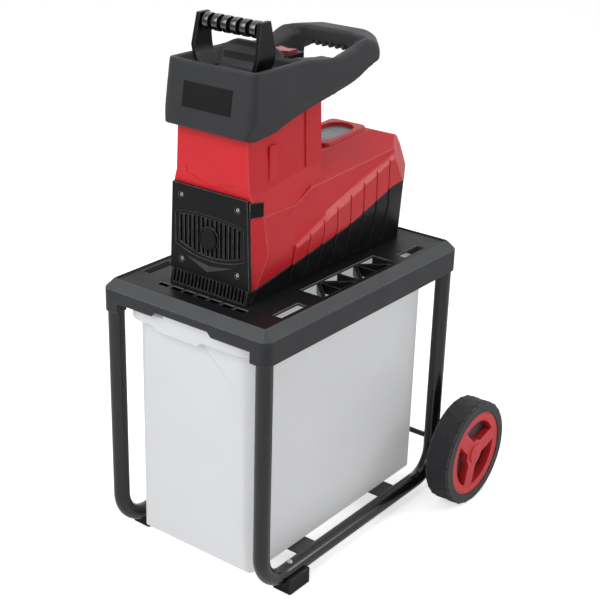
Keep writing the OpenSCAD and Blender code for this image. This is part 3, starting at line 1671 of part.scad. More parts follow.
module cutting_chamber() {
    w = chamber_wall;
    low = deck_z + floor_t;
    color("#9a9da1") difference() {
        block([chamber_x0 - w, chamber_y, low], [chamber_x1 + w, chamber_rear_y, chamber_top_z]);
        discharge(low - cut, chamber_top_z + cut);
        translate([0, 0, roller_z]) bar_y(roller_bearing_r, chamber_y - cut, chamber_rear_y + cut);
        translate([0, 0, lay_z])
            bar_y(lay_shaft_r + shaft_play, chamber_rear_y - w / 2, chamber_rear_y + cut);
        adjust_opening(adjust_r + shaft_play);
    }
}

// Outline of the cutting roller, with a hooked tooth in each step
function roller_outline() = [for (i = [0:roller_teeth - 1]) each
    let (a = i * 360 / roller_teeth, p = 360 / roller_teeth)
    [for (s = [[0, 0], [tooth_land, 0], [tooth_back, 1], [tooth_face, 1]])
        (roller_r - s[1] * tooth_depth) * [cos(a + s[0] * p), sin(a + s[0] * p)]]];

module cutting_roller() {
    color("#6d7074") translate([0, 0, roller_z]) {
        prism_y(roller_outline(), chute_y0 + roller_play, chute_y1 - roller_play);
        bar_y(roller_shaft_r, chamber_y + cut, chute_mid_y);
        bar_y(roller_shaft_r, chute_mid_y, chamber_rear_y + gear_gap / 2);
        bar_y(roller_shaft_r / 2, chute_mid_y, output_y1);
    }
}

// A ball bearing as a plain ring
module bearing(r, shaft_r, y0, y1) {
    difference() {
        bar_y(r, y0, y1);
        bar_y(shaft_r + shaft_play, y0 - cut, y1 + cut);
    }
}

module roller_bearings() {
    color("#c3c6c9") translate([0, 0, roller_z]) {
        bearing(roller_bearing_r, roller_shaft_r, chamber_y, chute_y0);
        bearing(roller_bearing_r, roller_shaft_r, chute_y1, chamber_rear_y);
    }
}

// Counter plate on the left of the roller, let back to its stop
counter_x1 = -roller_r - counter_gap;

module counter_plate() {
    color("#8d9094") difference() {
        block([counter_x1 - counter_t, chute_y0 + seat_gap, roller_z - counter_h / 2],
            [counter_x1, chute_y1 - seat_gap, roller_z + counter_h / 2]);
        translate([0, chute_mid_y, roller_z])
            bar_x(adjust_r + shaft_play, -far, counter_x1 - counter_t / 4);
    }
}

module adjusting_screw() {
    x0 = -tower_half_w - seat_gap * 4;
    turn = 360 / knob_flutes;
    color("#1b1c1e") translate([0, chute_mid_y, roller_z]) {
        bar_x(adjust_r, x0, counter_x1 - counter_t / 4 - counter_travel);
        difference() {
            bar_x(knob_r, x0 - knob_t, x0);
            for (i = [0:knob_flutes - 1])
                rotate([i * turn, 0, 0]) translate([0, 0, knob_r + adjust_r / 2])
                    bar_x(adjust_r, x0 - knob_t - cut, x0 + cut);
        }
    }
}

// Drive

// Outline of a spur gear; the first tooth points along +X
function gear_outline(teeth) =
    let (p = 360 / teeth, root = gear_module * (teeth / 2 - gear_foot),
        tip = gear_module * (teeth / 2 + gear_head))
    [for (i = [0:teeth - 1]) each
        [for (s = [[-gear_wide, root], [-gear_thin, tip], [gear_thin, tip], [gear_wide, root]])
            s[1] * [cos((i + s[0]) * p), sin((i + s[0]) * p)]]];

// A gear along Y, turned so that a tooth, or a gap, points along +Z or -Z
module gear(teeth, y0, y1, turn) {
    rotate([0, turn, 0]) prism_y(gear_outline(teeth), y0, y1);
}

module gearbox_case() {
    w = case_wall;
    gear_tip = gear_module * (wheel_teeth / 2 + 1);
    output_tip = gear_module * (output_teeth / 2 + 1);
    half = gear_tip + gear_room;
    low = roller_z - output_tip - gear_room;
    high = lay_z + gear_tip + gear_room;
    color("#888b8f") difference() {
        block([-half - w, chamber_rear_y, low - w], [half + w, case_rear_y, high + w]);
        block([-half, chamber_rear_y - cut, low], [half, case_rear_y - w, high]);
        translate([0, 0, roller_z]) bar_y(motor_shaft_r + cut, chamber_rear_y, case_rear_y + cut);
        translate([0, 0, lay_z]) bar_y(lay_shaft_r + shaft_play, chamber_rear_y, case_rear_y - w / 2);
    }
}

module output_gear() {
    color("#a9acb0") translate([0, 0, roller_z]) difference() {
        gear(output_teeth, output_y0, output_y1, 90);
        bar_y(roller_shaft_r / 2, output_y0 - cut, output_y1 + cut);
    }
}

module intermediate_gear() {
    color("#b08d57") translate([0, 0, lay_z]) {
        gear(lay_teeth, output_y0, output_y1, 90 + 180 / lay_teeth);
        gear(wheel_teeth, wheel_gear_y0, wheel_gear_y1, 90);
        bar_y(lay_shaft_r, chamber_rear_y - chamber_wall / 2 + seat_gap,
            case_rear_y - case_wall / 2 - seat_gap);
    }
}

module motor_casing() {
    r = motor_r - motor_wall;
    color("#7e8286") translate([0, 0, roller_z]) difference() {
        bar_y(motor_r, case_rear_y, motor_rear_y);
        bar_y(r, case_rear_y + motor_end_t, motor_rear_y + cut);
        bar_y(motor_bearing_r, case_rear_y - cut, case_rear_y + motor_end_t + cut);
    }
}

core_y0 = case_rear_y + 3 * motor_end_t;
core_y1 = core_y0 + core_len;

module motor_stator() {
    color("#8c5a32") translate([0, 0, roller_z]) difference() {
        bar_y(motor_r - motor_wall, core_y0, core_y1);
        bar_y(rotor_r + air_gap, core_y0 - cut, core_y1 + cut);
    }
}

module motor_rotor() {
    color("#9b9ea2") translate([0, 0, roller_z]) {
        gear(pinion_teeth, wheel_gear_y0, wheel_gear_y1, 90 + 180 / pinion_teeth);
        bar_y(motor_shaft_r, wheel_gear_y1, motor_rear_y + fan_t);
        bar_y(motor_shaft_r / 2, wheel_gear_y0, wheel_gear_y1 + cut);
        bar_y(rotor_r, core_y0, core_y1);
    }
}

module motor_bearings() {
    color("#c3c6c9") translate([0, 0, roller_z]) {
        bearing(motor_bearing_r, motor_shaft_r, case_rear_y, case_rear_y + motor_end_t);
        bearing(motor_bearing_r, motor_shaft_r, motor_rear_y - motor_end_t, motor_rear_y);
    }
}

module motor_end_bracket() {
    color("#7e8286") translate([0, 0, roller_z]) difference() {
        bar_y(motor_r - motor_wall, motor_rear_y - motor_end_t, motor_rear_y);
        bar_y(motor_bearing_r, motor_rear_y - motor_end_t - cut, motor_rear_y + cut);
    }
}

module motor_fan() {
    y0 = motor_rear_y + seat_gap * 4;
    y1 = motor_rear_y + fan_t;
    color("#2b2d30") translate([0, 0, roller_z]) difference() {
        union() {
            bar_y(motor_bearing_r, y0, y1);
            bar_y(fan_r, y0, y0 + motor_wall / 2);
            for (i = [0:fan_blades - 1])
                rotate([0, i * 360 / fan_blades, 0])
                    block([motor_shaft_r + cut, y0, -cut], [fan_r - cut, y1, cut]);
        }
        bar_y(motor_shaft_r, y0 - cut, y1 + cut);
    }
}

// Controls

switch_x1 = switch_w / 2 - switch_low_w / 2 + switch_shift;
switch_x0 = switch_x1 - switch_w;
switch_y0 = mouth_rear_y + hood_d / 2 + switch_gap;
switch_y1 = switch_y0 + switch_d;
switch_z = panel_z + seat_gap / 3;
switch_top_z = switch_z + switch_h;
switch_low_z = switch_z + switch_low_h;
rocker_x = switch_x1 - rocker_len / 2 - 4 * cut;
reverse_x = switch_x0 + reverse_len / 2 + 4 * cut;
switch_mid_y = (switch_y0 + switch_y1) / 2;
reset_x = switch_x1 + switch_low_w / 2;

// A pocket for a rocker
module rocker_pocket(x, length, play) {
    block([x - length / 2 - play, switch_mid_y - rocker_d / 2 - play, switch_top_z - rocker_h * 2],
        [x + length / 2 + play, switch_mid_y + rocker_d / 2 + play, switch_top_z + cut]);
}

// A rocker with a shallow valley on top, held on a pin along Y
module rocker(x, length) {
    half = length / 2 - rocker_play;
    foot = rocker_h;
    translate([x, 0, switch_top_z]) difference() {
        prism_y([[-half, -foot / 4], [-half / 2, -foot], [half / 2, -foot], [half, -foot / 4],
            [half, rocker_h], [0, rocker_h * 2 / 3], [-half, rocker_h]],
            switch_mid_y - rocker_d / 2, switch_mid_y + rocker_d / 2);
        translate([0, 0, -foot / 2]) bar_y(screw_r / 2 + shaft_play, switch_y0, switch_y1);
    }
}

// Pins that the rockers turn on
module rocker_pins() {
    for (x = [rocker_x, reverse_x])
        translate([x, 0, switch_top_z - rocker_h / 2])
            bar_y(screw_r / 2, switch_mid_y - rocker_d / 2 - 2 * cut, switch_mid_y + rocker_d / 2 + 2 * cut);
}

module switch_box() {
    color("#232426") union() {
        difference() {
            union() {
                block([switch_x0, switch_y0, switch_z], [switch_x1, switch_y1, switch_top_z]);
                block([switch_x1 - cut, switch_y0, switch_z],
                    [switch_x1 + switch_low_w, switch_y1, switch_low_z]);
            }
            rocker_pocket(rocker_x, rocker_len, rocker_play);
            rocker_pocket(reverse_x, reverse_len, rocker_play);
            translate([reset_x, switch_mid_y, switch_low_z - reset_travel - 2 * cut])
                cylinder(r = reset_r + shaft_play, h = switch_h);
        }
        rocker_pins();
    }
}

module power_rocker() { color("#c8202a") rocker(rocker_x, rocker_len); }

module reverse_rocker() { color("#2c2e31") rocker(reverse_x, reverse_len); }

module reset_button() {
    color("#d9dde2") translate([reset_x, switch_mid_y, switch_low_z - cut]) {
        cylinder(r = reset_r, h = reset_h - cut);
        translate([0, 0, reset_h - cut]) cylinder(r1 = reset_r, r2 = reset_r - 2 * cut, h = 2 * cut);
    }
}

module mains_inlet() {
    z = deck_z + inlet_h;
    y0 = body_rear_y - inlet_len;
    y1 = body_rear_y + inlet_len / 2;
    pin_r = screw_r;
    color("#27282b") translate([0, 0, z]) {
        difference() {
            union() {
                bar_y(inlet_r, y0, y1);
                bar_y(inlet_r + shell_wall, body_rear_y, body_rear_y + screw_head_h);
            }
            bar_y(inlet_r - shell_wall, y0 + shell_wall, y1 + cut);
        }
        for (side = [-1, 1])
            translate([side * inlet_r / 2, 0, 0]) bar_y(pin_r, y0 + cut, y1 - 2 * cut);
    }
}

table();
frame_tube_left();
frame_tube_right();
crossbar_front();
crossbar_rear();
foot_left();
foot_right();
foot_screws();
leg_screws();
housing_screws();
axle();
axle_spacers();
axle_push_nuts();
wheel_rim_left();
wheel_rim_right();
tyre_left();
tyre_right();
hub_cap_left();
hub_cap_right();
collection_box();
lower_housing();
upper_housing();
front_cover();
cover_screws();
rating_plate();
hopper();
front_plate();
pusher_body();
pusher_grip();
feed_chute();
cutting_chamber();
cutting_roller();
roller_bearings();
counter_plate();
adjusting_screw();
gearbox_case();
output_gear();
intermediate_gear();
motor_casing();
motor_stator();
motor_rotor();
motor_bearings();
motor_end_bracket();
motor_fan();
switch_box();
power_rocker();
reverse_rocker();
reset_button();
mains_inlet();
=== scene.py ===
"""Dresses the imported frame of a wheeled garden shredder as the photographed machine."""
import json
import logging
import math
from collections.abc import Callable
from dataclasses import dataclass, field
from enum import Enum

import bmesh
import bpy
from mathutils import Matrix, Vector


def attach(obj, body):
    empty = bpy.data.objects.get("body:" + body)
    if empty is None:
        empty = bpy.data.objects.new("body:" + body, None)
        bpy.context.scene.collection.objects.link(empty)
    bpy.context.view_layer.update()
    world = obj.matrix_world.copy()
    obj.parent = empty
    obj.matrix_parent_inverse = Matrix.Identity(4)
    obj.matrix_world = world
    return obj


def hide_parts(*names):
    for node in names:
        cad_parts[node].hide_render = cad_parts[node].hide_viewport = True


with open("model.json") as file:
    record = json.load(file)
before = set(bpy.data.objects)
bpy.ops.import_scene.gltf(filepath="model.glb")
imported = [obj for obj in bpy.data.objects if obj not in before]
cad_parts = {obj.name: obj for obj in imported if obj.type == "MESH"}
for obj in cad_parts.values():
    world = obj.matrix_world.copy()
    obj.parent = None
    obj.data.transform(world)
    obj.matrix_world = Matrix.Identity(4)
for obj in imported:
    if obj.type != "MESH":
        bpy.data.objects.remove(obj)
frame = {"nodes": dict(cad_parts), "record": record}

MM = 0.001
MERGE_CAD = 0.00002
MERGE_SPUN = 0.000005
FLAT_ANGLE = math.radians(0.5)
NORMAL_WEIGHT = 90
FULL_TURN = 2 * math.pi
WHITE = (1.0, 1.0, 1.0, 1.0)
LOG = logging.getLogger("garden_shredder")
Color = tuple[float, float, float]
Zone = Callable[[bmesh.types.BMFace], bool]
Node = bpy.types.Node
Tree = bpy.types.NodeTree
FLOAT = "NodeSocketFloat"
COLOR = "NodeSocketColor"


class Side(Enum):
    """The two sides of the machine, by the sign of X."""

    LEFT = -1
    RIGHT = 1


class Effect(Enum):
    """Surface effects that several finishes share, each one a node group."""

    GRAIN = "mould_grain"
    MOTTLE = "colour_mottle"
    DUST = "settled_dust"
    # rubbed edges with painted highlights on the bevel faces
    WEAR = "edge_wear"
    BRUSH = "brushed_lines"


class EffectLibrary:
    """Builds each shared node group once and hands it out."""

    DUST_COLOR: Color = (0.36, 0.35, 0.34)
    # pale colour of rubbed edges, also their painted highlight
    RUBBED_HIGHLIGHT_COLOR: Color = (0.62, 0.60, 0.58)
    LINE_STRETCH: Color = (1.0, 1.0, 0.06)

    def __init__(self) -> None:
        """Starts with no group built."""
        self.groups: dict[Effect, Tree] = {}

    def get(self, effect: Effect) -> Tree:
        """Gives the node group of an effect.

        Args:
            effect: The effect that is wanted.

        Returns:
            The shader node group.
        """
        if effect not in self.groups:
            builder = {
                Effect.GRAIN: self.grain,
                Effect.MOTTLE: self.mottle,
                Effect.DUST: self.dust,
                Effect.WEAR: self.wear,
                Effect.BRUSH: self.brush,
            }[effect]
            self.groups[effect] = builder()
        return self.groups[effect]

    @staticmethod
    def start(effect: Effect, inputs: dict[str, str],
              outputs: dict[str, str]) -> tuple[Tree, Node, Node]:
        """Makes an empty group with its sockets.

        Args:
            effect: The effect that names the group.
            inputs: Socket types by input name.
            outputs: Socket types by output name.

        Returns:
            The tree, its input node and its output node.
        """
        tree = bpy.data.node_groups.new(effect.value, "ShaderNodeTree")
        for name, kind in inputs.items():
            tree.interface.new_socket(name=name, in_out="INPUT", socket_type=kind)
        for name, kind in outputs.items():
            tree.interface.new_socket(name=name, in_out="OUTPUT", socket_type=kind)
        return tree, tree.nodes.new("NodeGroupInput"), tree.nodes.new("NodeGroupOutput")

    @staticmethod
    def noise(tree: Tree, scale: float | None, detail: float, stretch: Color = (1, 1, 1)) -> Node:
        """Adds a noise texture on object coordinates.

        Args:
            tree: The tree that gets the nodes.
            scale: Noise scale, or None where a link sets it.
            detail: Noise detail.
            stretch: Scale of the coordinates along each axis.

        Returns:
            The noise node.
        """
        place = tree.nodes.new("ShaderNodeTexCoord")
        mapping = tree.nodes.new("ShaderNodeMapping")
        mapping.inputs["Scale"].default_value = stretch
        noise = tree.nodes.new("ShaderNodeTexNoise")
        noise.inputs["Detail"].default_value = detail
        if scale is not None:
            noise.inputs["Scale"].default_value = scale
        tree.links.new(place.outputs["Object"], mapping.inputs["Vector"])
        tree.links.new(mapping.outputs["Vector"], noise.inputs["Vector"])
        return noise

    @staticmethod
    def span(tree: Tree, low: float, high: float, to_low: float, to_high: float) -> Node:
        """Adds a clamped map from one range of values to another.

        Args:
            tree: The tree that gets the node.
            low: Lowest value taken in.
            high: Highest value taken in.
            to_low: Value given for low.
            to_high: Value given for high.

        Returns:
            The map node.
        """
        node = tree.nodes.new("ShaderNodeMapRange")
        ends = {"From Min": low, "From Max": high, "To Min": to_low, "To Max": to_high}
        for key, value in ends.items():
            node.inputs[key].default_value = value
        return node

    @staticmethod
    def times(tree: Tree) -> Node:
        """Adds a node that multiplies two values."""
        node = tree.nodes.new("ShaderNodeMath")
        node.operation = "MULTIPLY"
        return node

    @staticmethod
    def mix(tree: Tree, over: Color) -> Node:
        """Adds a colour mix towards a fixed colour."""
        node = tree.nodes.new("ShaderNodeMix")
        node.data_type = "RGBA"
        node.inputs["B"].default_value = (*over, 1.0)
        return node

    def grain(self) -> Tree:
        """Fine texture of a moulded or coated surface, as a height and a slow patchy mask."""
        tree, gin, gout = self.start(
            Effect.GRAIN, {"Scale": FLOAT}, {"Height": FLOAT, "Patch": FLOAT})
        fine = self.noise(tree, None, 3.0)
        slow = self.noise(tree, 14.0, 4.0)
        tree.links.new(gin.outputs["Scale"], fine.inputs["Scale"])
        tree.links.new(fine.outputs["Fac"], gout.inputs["Height"])
        tree.links.new(slow.outputs["Fac"], gout.inputs["Patch"])
        return tree

    def mottle(self) -> Tree:
        """Slow variation of a colour's brightness."""
        tree, gin, gout = self.start(
            Effect.MOTTLE, {"Color": COLOR, "Spread": FLOAT}, {"Color": COLOR})
        noise = self.noise(tree, 9.0, 5.0)
        span = self.span(tree, 0.3, 0.7, -1.0, 1.0)
        times = self.times(tree)
        plus = tree.nodes.new("ShaderNodeMath")
        plus.inputs[1].default_value = 1.0
        hsv = tree.nodes.new("ShaderNodeHueSaturation")
        tree.links.new(noise.outputs["Fac"], span.inputs["Value"])
        tree.links.new(span.outputs["Result"], times.inputs[0])
        tree.links.new(gin.outputs["Spread"], times.inputs[1])
        tree.links.new(times.outputs["Value"], plus.inputs[0])
        tree.links.new(plus.outputs["Value"], hsv.inputs["Value"])
        tree.links.new(gin.outputs["Color"], hsv.inputs["Color"])
        tree.links.new(hsv.outputs["Color"], gout.inputs["Color"])
        return tree

    def dust(self) -> Tree:
        """Pale dust that settles on faces that look up."""
        tree, gin, gout = self.start(
            Effect.DUST, {"Color": COLOR, "Amount": FLOAT}, {"Color": COLOR})
        shape = tree.nodes.new("ShaderNodeNewGeometry")
        split = tree.nodes.new("ShaderNodeSeparateXYZ")
        up = self.span(tree, 0.55, 1.0, 0.0, 1.0)
        noise = self.noise(tree, 60.0, 6.0)
        patch = self.span(tree, 0.35, 0.75, 0.2, 1.0)
        first, second = self.times(tree), self.times(tree)
        mix = self.mix(tree, self.DUST_COLOR)
        tree.links.new(shape.outputs["Normal"], split.inputs["Vector"])
        tree.links.new(split.outputs["Z"], up.inputs["Value"])
        tree.links.new(noise.outputs["Fac"], patch.inputs["Value"])
        tree.links.new(up.outputs["Result"], first.inputs[0])
        tree.links.new(patch.outputs["Result"], first.inputs[1])
        tree.links.new(first.outputs["Value"], second.inputs[0])
        tree.links.new(gin.outputs["Amount"], second.inputs[1])
        tree.links.new(second.outputs["Value"], mix.inputs["Factor"])
        tree.links.new(gin.outputs["Color"], mix.inputs["A"])
        tree.links.new(mix.outputs["Result"], gout.inputs["Color"])
        return tree

    def wear(self) -> Tree:
        """Rubbed edges with painted highlights, as a lighter colour on the faces that a bevel has
        marked.
        """
        tree, gin, gout = self.start(
            Effect.WEAR, {"Color": COLOR, "Amount": FLOAT}, {"Color": COLOR})
        edge = tree.nodes.new("ShaderNodeAttribute")
        edge.attribute_name = "edge"
        noise = self.noise(tree, 120.0, 4.0)
        patch = self.span(tree, 0.35, 0.7, 0.35, 1.0)
        first, second = self.times(tree), self.times(tree)
        mix = self.mix(tree, self.RUBBED_HIGHLIGHT_COLOR)
        tree.links.new(noise.outputs["Fac"], patch.inputs["Value"])
        tree.links.new(edge.outputs["Fac"], first.inputs[0])
        tree.links.new(patch.outputs["Result"], first.inputs[1])
        tree.links.new(first.outputs["Value"], second.inputs[0])
        tree.links.new(gin.outputs["Amount"], second.inputs[1])
        tree.links.new(second.outputs["Value"], mix.inputs["Factor"])
        tree.links.new(gin.outputs["Color"], mix.inputs["A"])
        tree.links.new(mix.outputs["Result"], gout.inputs["Color"])
        return tree

    def brush(self) -> Tree:
        """Fine lines of a drawn or turned metal surface."""
        tree, gin, gout = self.start(
            Effect.BRUSH, {"Scale": FLOAT}, {"Height": FLOAT, "Patch": FLOAT})
        lines = self.noise(tree, None, 2.0, self.LINE_STRETCH)
        slow = self.noise(tree, 40.0, 3.0)
        tree.links.new(gin.outputs["Scale"], lines.inputs["Scale"])
        tree.links.new(lines.outputs["Fac"], gout.inputs["Height"])
        tree.links.new(slow.outputs["Fac"], gout.inputs["Patch"])
        return tree


EFFECTS = EffectLibrary()


@dataclass(frozen=True)
class Finish:
    """A material with its colour, gloss, texture, rubbed edges with painted highlights, and any
    painted glow.
    """

    name: str
    color: Color
    roughness: float
    metallic: float = 0.0
    coat: float = 0.0
    texture: Effect = Effect.GRAIN
    scale: float = 900.0
    depth: float = 0.12
    patchy: float = 0.12
    spread: float = 0.06
    dust: float = 0.04
    # amount of rubbed edges with painted highlights
    wear: float = 0.06
    # strength of a painted glow, light that the surface gives though it is no lamp
    painted_glow: float = 0.0
    clear: float = 0.0
    shine: float = 0.5
    coat_roughness: float = 0.12
    bump_distance: float = 0.0006

    def material(self) -> bpy.types.Material:
        """Builds the material, or gives it where it exists.

        Returns:
            The material.
        """
        known = bpy.data.materials.get(self.name)
        if known:
            return known
        mat = bpy.data.materials.new(self.name)
        mat.use_nodes = True
        tree = mat.node_tree
        shader = tree.nodes["Principled BSDF"]
        constants = {
            "Metallic": self.metallic, "Coat Weight": self.coat,
            "Coat Roughness": self.coat_roughness,
            "Emission Color": WHITE, "Emission Strength": self.painted_glow,
            "Transmission Weight": self.clear, "Specular IOR Level": self.shine}
        for name, value in constants.items():
            shader.inputs[name].default_value = value
        mottle = self.effect(
            tree, Effect.MOTTLE, {"Color": (*self.color, 1.0), "Spread": self.spread})
        dust = self.effect(tree, Effect.DUST, {"Amount": self.dust})
        # lighter bevel faces: rubbed edges and painted highlights
        wear = self.effect(tree, Effect.WEAR, {"Amount": self.wear})
        texture = self.effect(tree, self.texture, {"Scale": self.scale})
        tree.links.new(mottle.outputs["Color"], dust.inputs["Color"])
        tree.links.new(dust.outputs["Color"], wear.inputs["Color"])
        tree.links.new(wear.outputs["Color"], shader.inputs["Base Color"])
        smoothest = max(self.roughness - self.patchy / 2, 0.05)
        roughest = min(self.roughness + self.patchy / 2, 1.0)
        rough = EffectLibrary.span(tree, 0.3, 0.7, smoothest, roughest)
        tree.links.new(texture.outputs["Patch"], rough.inputs["Value"])
        tree.links.new(rough.outputs["Result"], shader.inputs["Roughness"])
        bump = tree.nodes.new("ShaderNodeBump")
        bump.inputs["Strength"].default_value = self.depth
        bump.inputs["Distance"].default_value = self.bump_distance
        tree.links.new(texture.outputs["Height"], bump.inputs["Height"])
        tree.links.new(bump.outputs["Normal"], shader.inputs["Normal"])
        return mat

    @staticmethod
    def effect(tree: Tree, effect: Effect, values: dict[str, object]) -> Node:
        """Places a shared effect in a material.

        Args:
            tree: The material's tree.
            effect: The effect to place.
            values: Input values by name.

        Returns:
            The group node.
        """
        node = tree.nodes.new("ShaderNodeGroup")
        node.node_tree = EFFECTS.get(effect)
        for name, value in values.items():
            node.inputs[name].default_value = value
        return node


# hopper grey, also a painted highlight on the cover's chevron
HOPPER_GREY_AND_HIGHLIGHT = Finish("hopper_grey", (0.031, 0.032, 0.035), 0.50, depth=0.25, dust=0.03, shine=0.22)
# deck black, also painted as shade on the hopper's wall behind the mouth
DECK_BLACK_AND_SHADE = Finish("deck_black", (0.007, 0.0075, 0.0085), 0.36, depth=0.12, dust=0.01, shine=0.12)
RIM_GREY = Finish(
    "rim_grey", (0.042, 0.045, 0.048), 0.58, depth=0.4, scale=600.0, dust=0.05, shine=0.4)
SKIRT_GREY = Finish("skirt_grey", (0.018, 0.019, 0.022), 0.5, depth=0.25, dust=0.03, shine=0.35)
HOUSING_BLACK = Finish(
    "housing_black", (0.0055, 0.0057, 0.0065), 0.36, depth=0.14, dust=0.015, shine=0.14)
# the cover's larger edge amount paints highlights on the rounded edges of its grille and arch,
# besides rubbing
COVER_BLACK = Finish(
    "cover_black", (0.0055, 0.0057, 0.0065), 0.34, depth=0.14, dust=0.015, wear=0.16, shine=0.14)
PUSHER_BLACK = Finish(
    "pusher_black", (0.0055, 0.0058, 0.0066), 0.34, depth=0.08, dust=0.01, shine=0.2)
GRIP_BLACK = Finish(
    "grip_black", (0.0045, 0.0048, 0.0056), 0.18, coat=0.4, depth=0.02, dust=0.0, shine=1.0)
# painted shade for the grip's grooves between its ribs
GROOVE_SHADE_BLACK = Finish("groove_black", (0.0025, 0.0026, 0.003), 0.7, dust=0.0, wear=0.0, shine=0.02)
SHELL_RED = Finish(
    "shell_red", (0.58, 0.016, 0.023), 0.34, depth=0.08, spread=0.04, dust=0.01, wear=0.10,
    shine=0.28)
RIM_RED = Finish("rim_red", (0.60, 0.024, 0.032), 0.38, depth=0.1, dust=0.0, wear=0.14, shine=0.35)
SWITCH_RED = Finish("switch_red", (0.34, 0.03, 0.035), 0.28, depth=0.05)
# milky box: low base colour plus a painted glow that stands in for light passing through the
# plastic and evens its front and sides
MILKY_WHITE = Finish(
    "milky_white", (0.44, 0.447, 0.46), 0.42, depth=0.05, spread=0.02, dust=0.0, wear=0.0,
    painted_glow=0.23)
CLEAR_CAP = Finish("clear_cap", (0.75, 0.77, 0.80), 0.16, depth=0.02, clear=0.5)
TUBE_BLACK = Finish(
    "tube_black", (0.006, 0.0062, 0.007), 0.18, scale=500.0, depth=0.04, dust=0.02, shine=0.5)
BAR_BROWN = Finish("bar_brown", (0.024, 0.018, 0.015), 0.34, coat=0.2, depth=0.1, dust=0.04)
# tyre rubber, also painted as shade on the deep faces inside the rim
TYRE_BLACK_AND_SHADE = Finish(
    "tyre_black", (0.018, 0.019, 0.021), 0.68, depth=0.3, scale=700.0, dust=0.04, wear=0.10,
    shine=0.35)
TYRE_WALL = Finish("tyre_wall", (0.046, 0.047, 0.051), 0.66, depth=0.3, scale=700.0, shine=0.3)
# grey-brown dish set behind the rim's windows as painted shade of the wheel's inside
SHADE_DISH_GREY = Finish("web_grey", (0.10, 0.078, 0.082), 0.6, depth=0.2, shine=0.2)
ZINC = Finish(
    "zinc_plate", (0.62, 0.63, 0.64), 0.30, metallic=1.0, texture=Effect.BRUSH, depth=0.06,
    wear=0.0)
STEEL = Finish(
    "plain_steel", (0.30, 0.31, 0.32), 0.36, metallic=1.0, texture=Effect.BRUSH, depth=0.1,
    wear=0.1)
CAST = Finish(
    "cast_alloy", (0.42, 0.43, 0.44), 0.55, metallic=1.0, scale=420.0, depth=0.35, wear=0.1)
COPPER = Finish(
    "copper_winding", (0.40, 0.17, 0.07), 0.40, metallic=0.9, texture=Effect.BRUSH, depth=0.3)
PLATE_GREY = Finish(
    "plate_grey", (0.16, 0.18, 0.20), 0.32, metallic=0.6, texture=Effect.BRUSH, depth=0.04)
PLATE_BLACK = Finish(
    "plate_black", (0.004, 0.004, 0.005), 0.2, coat=0.3, depth=0.03, wear=0.0, shine=0.35)




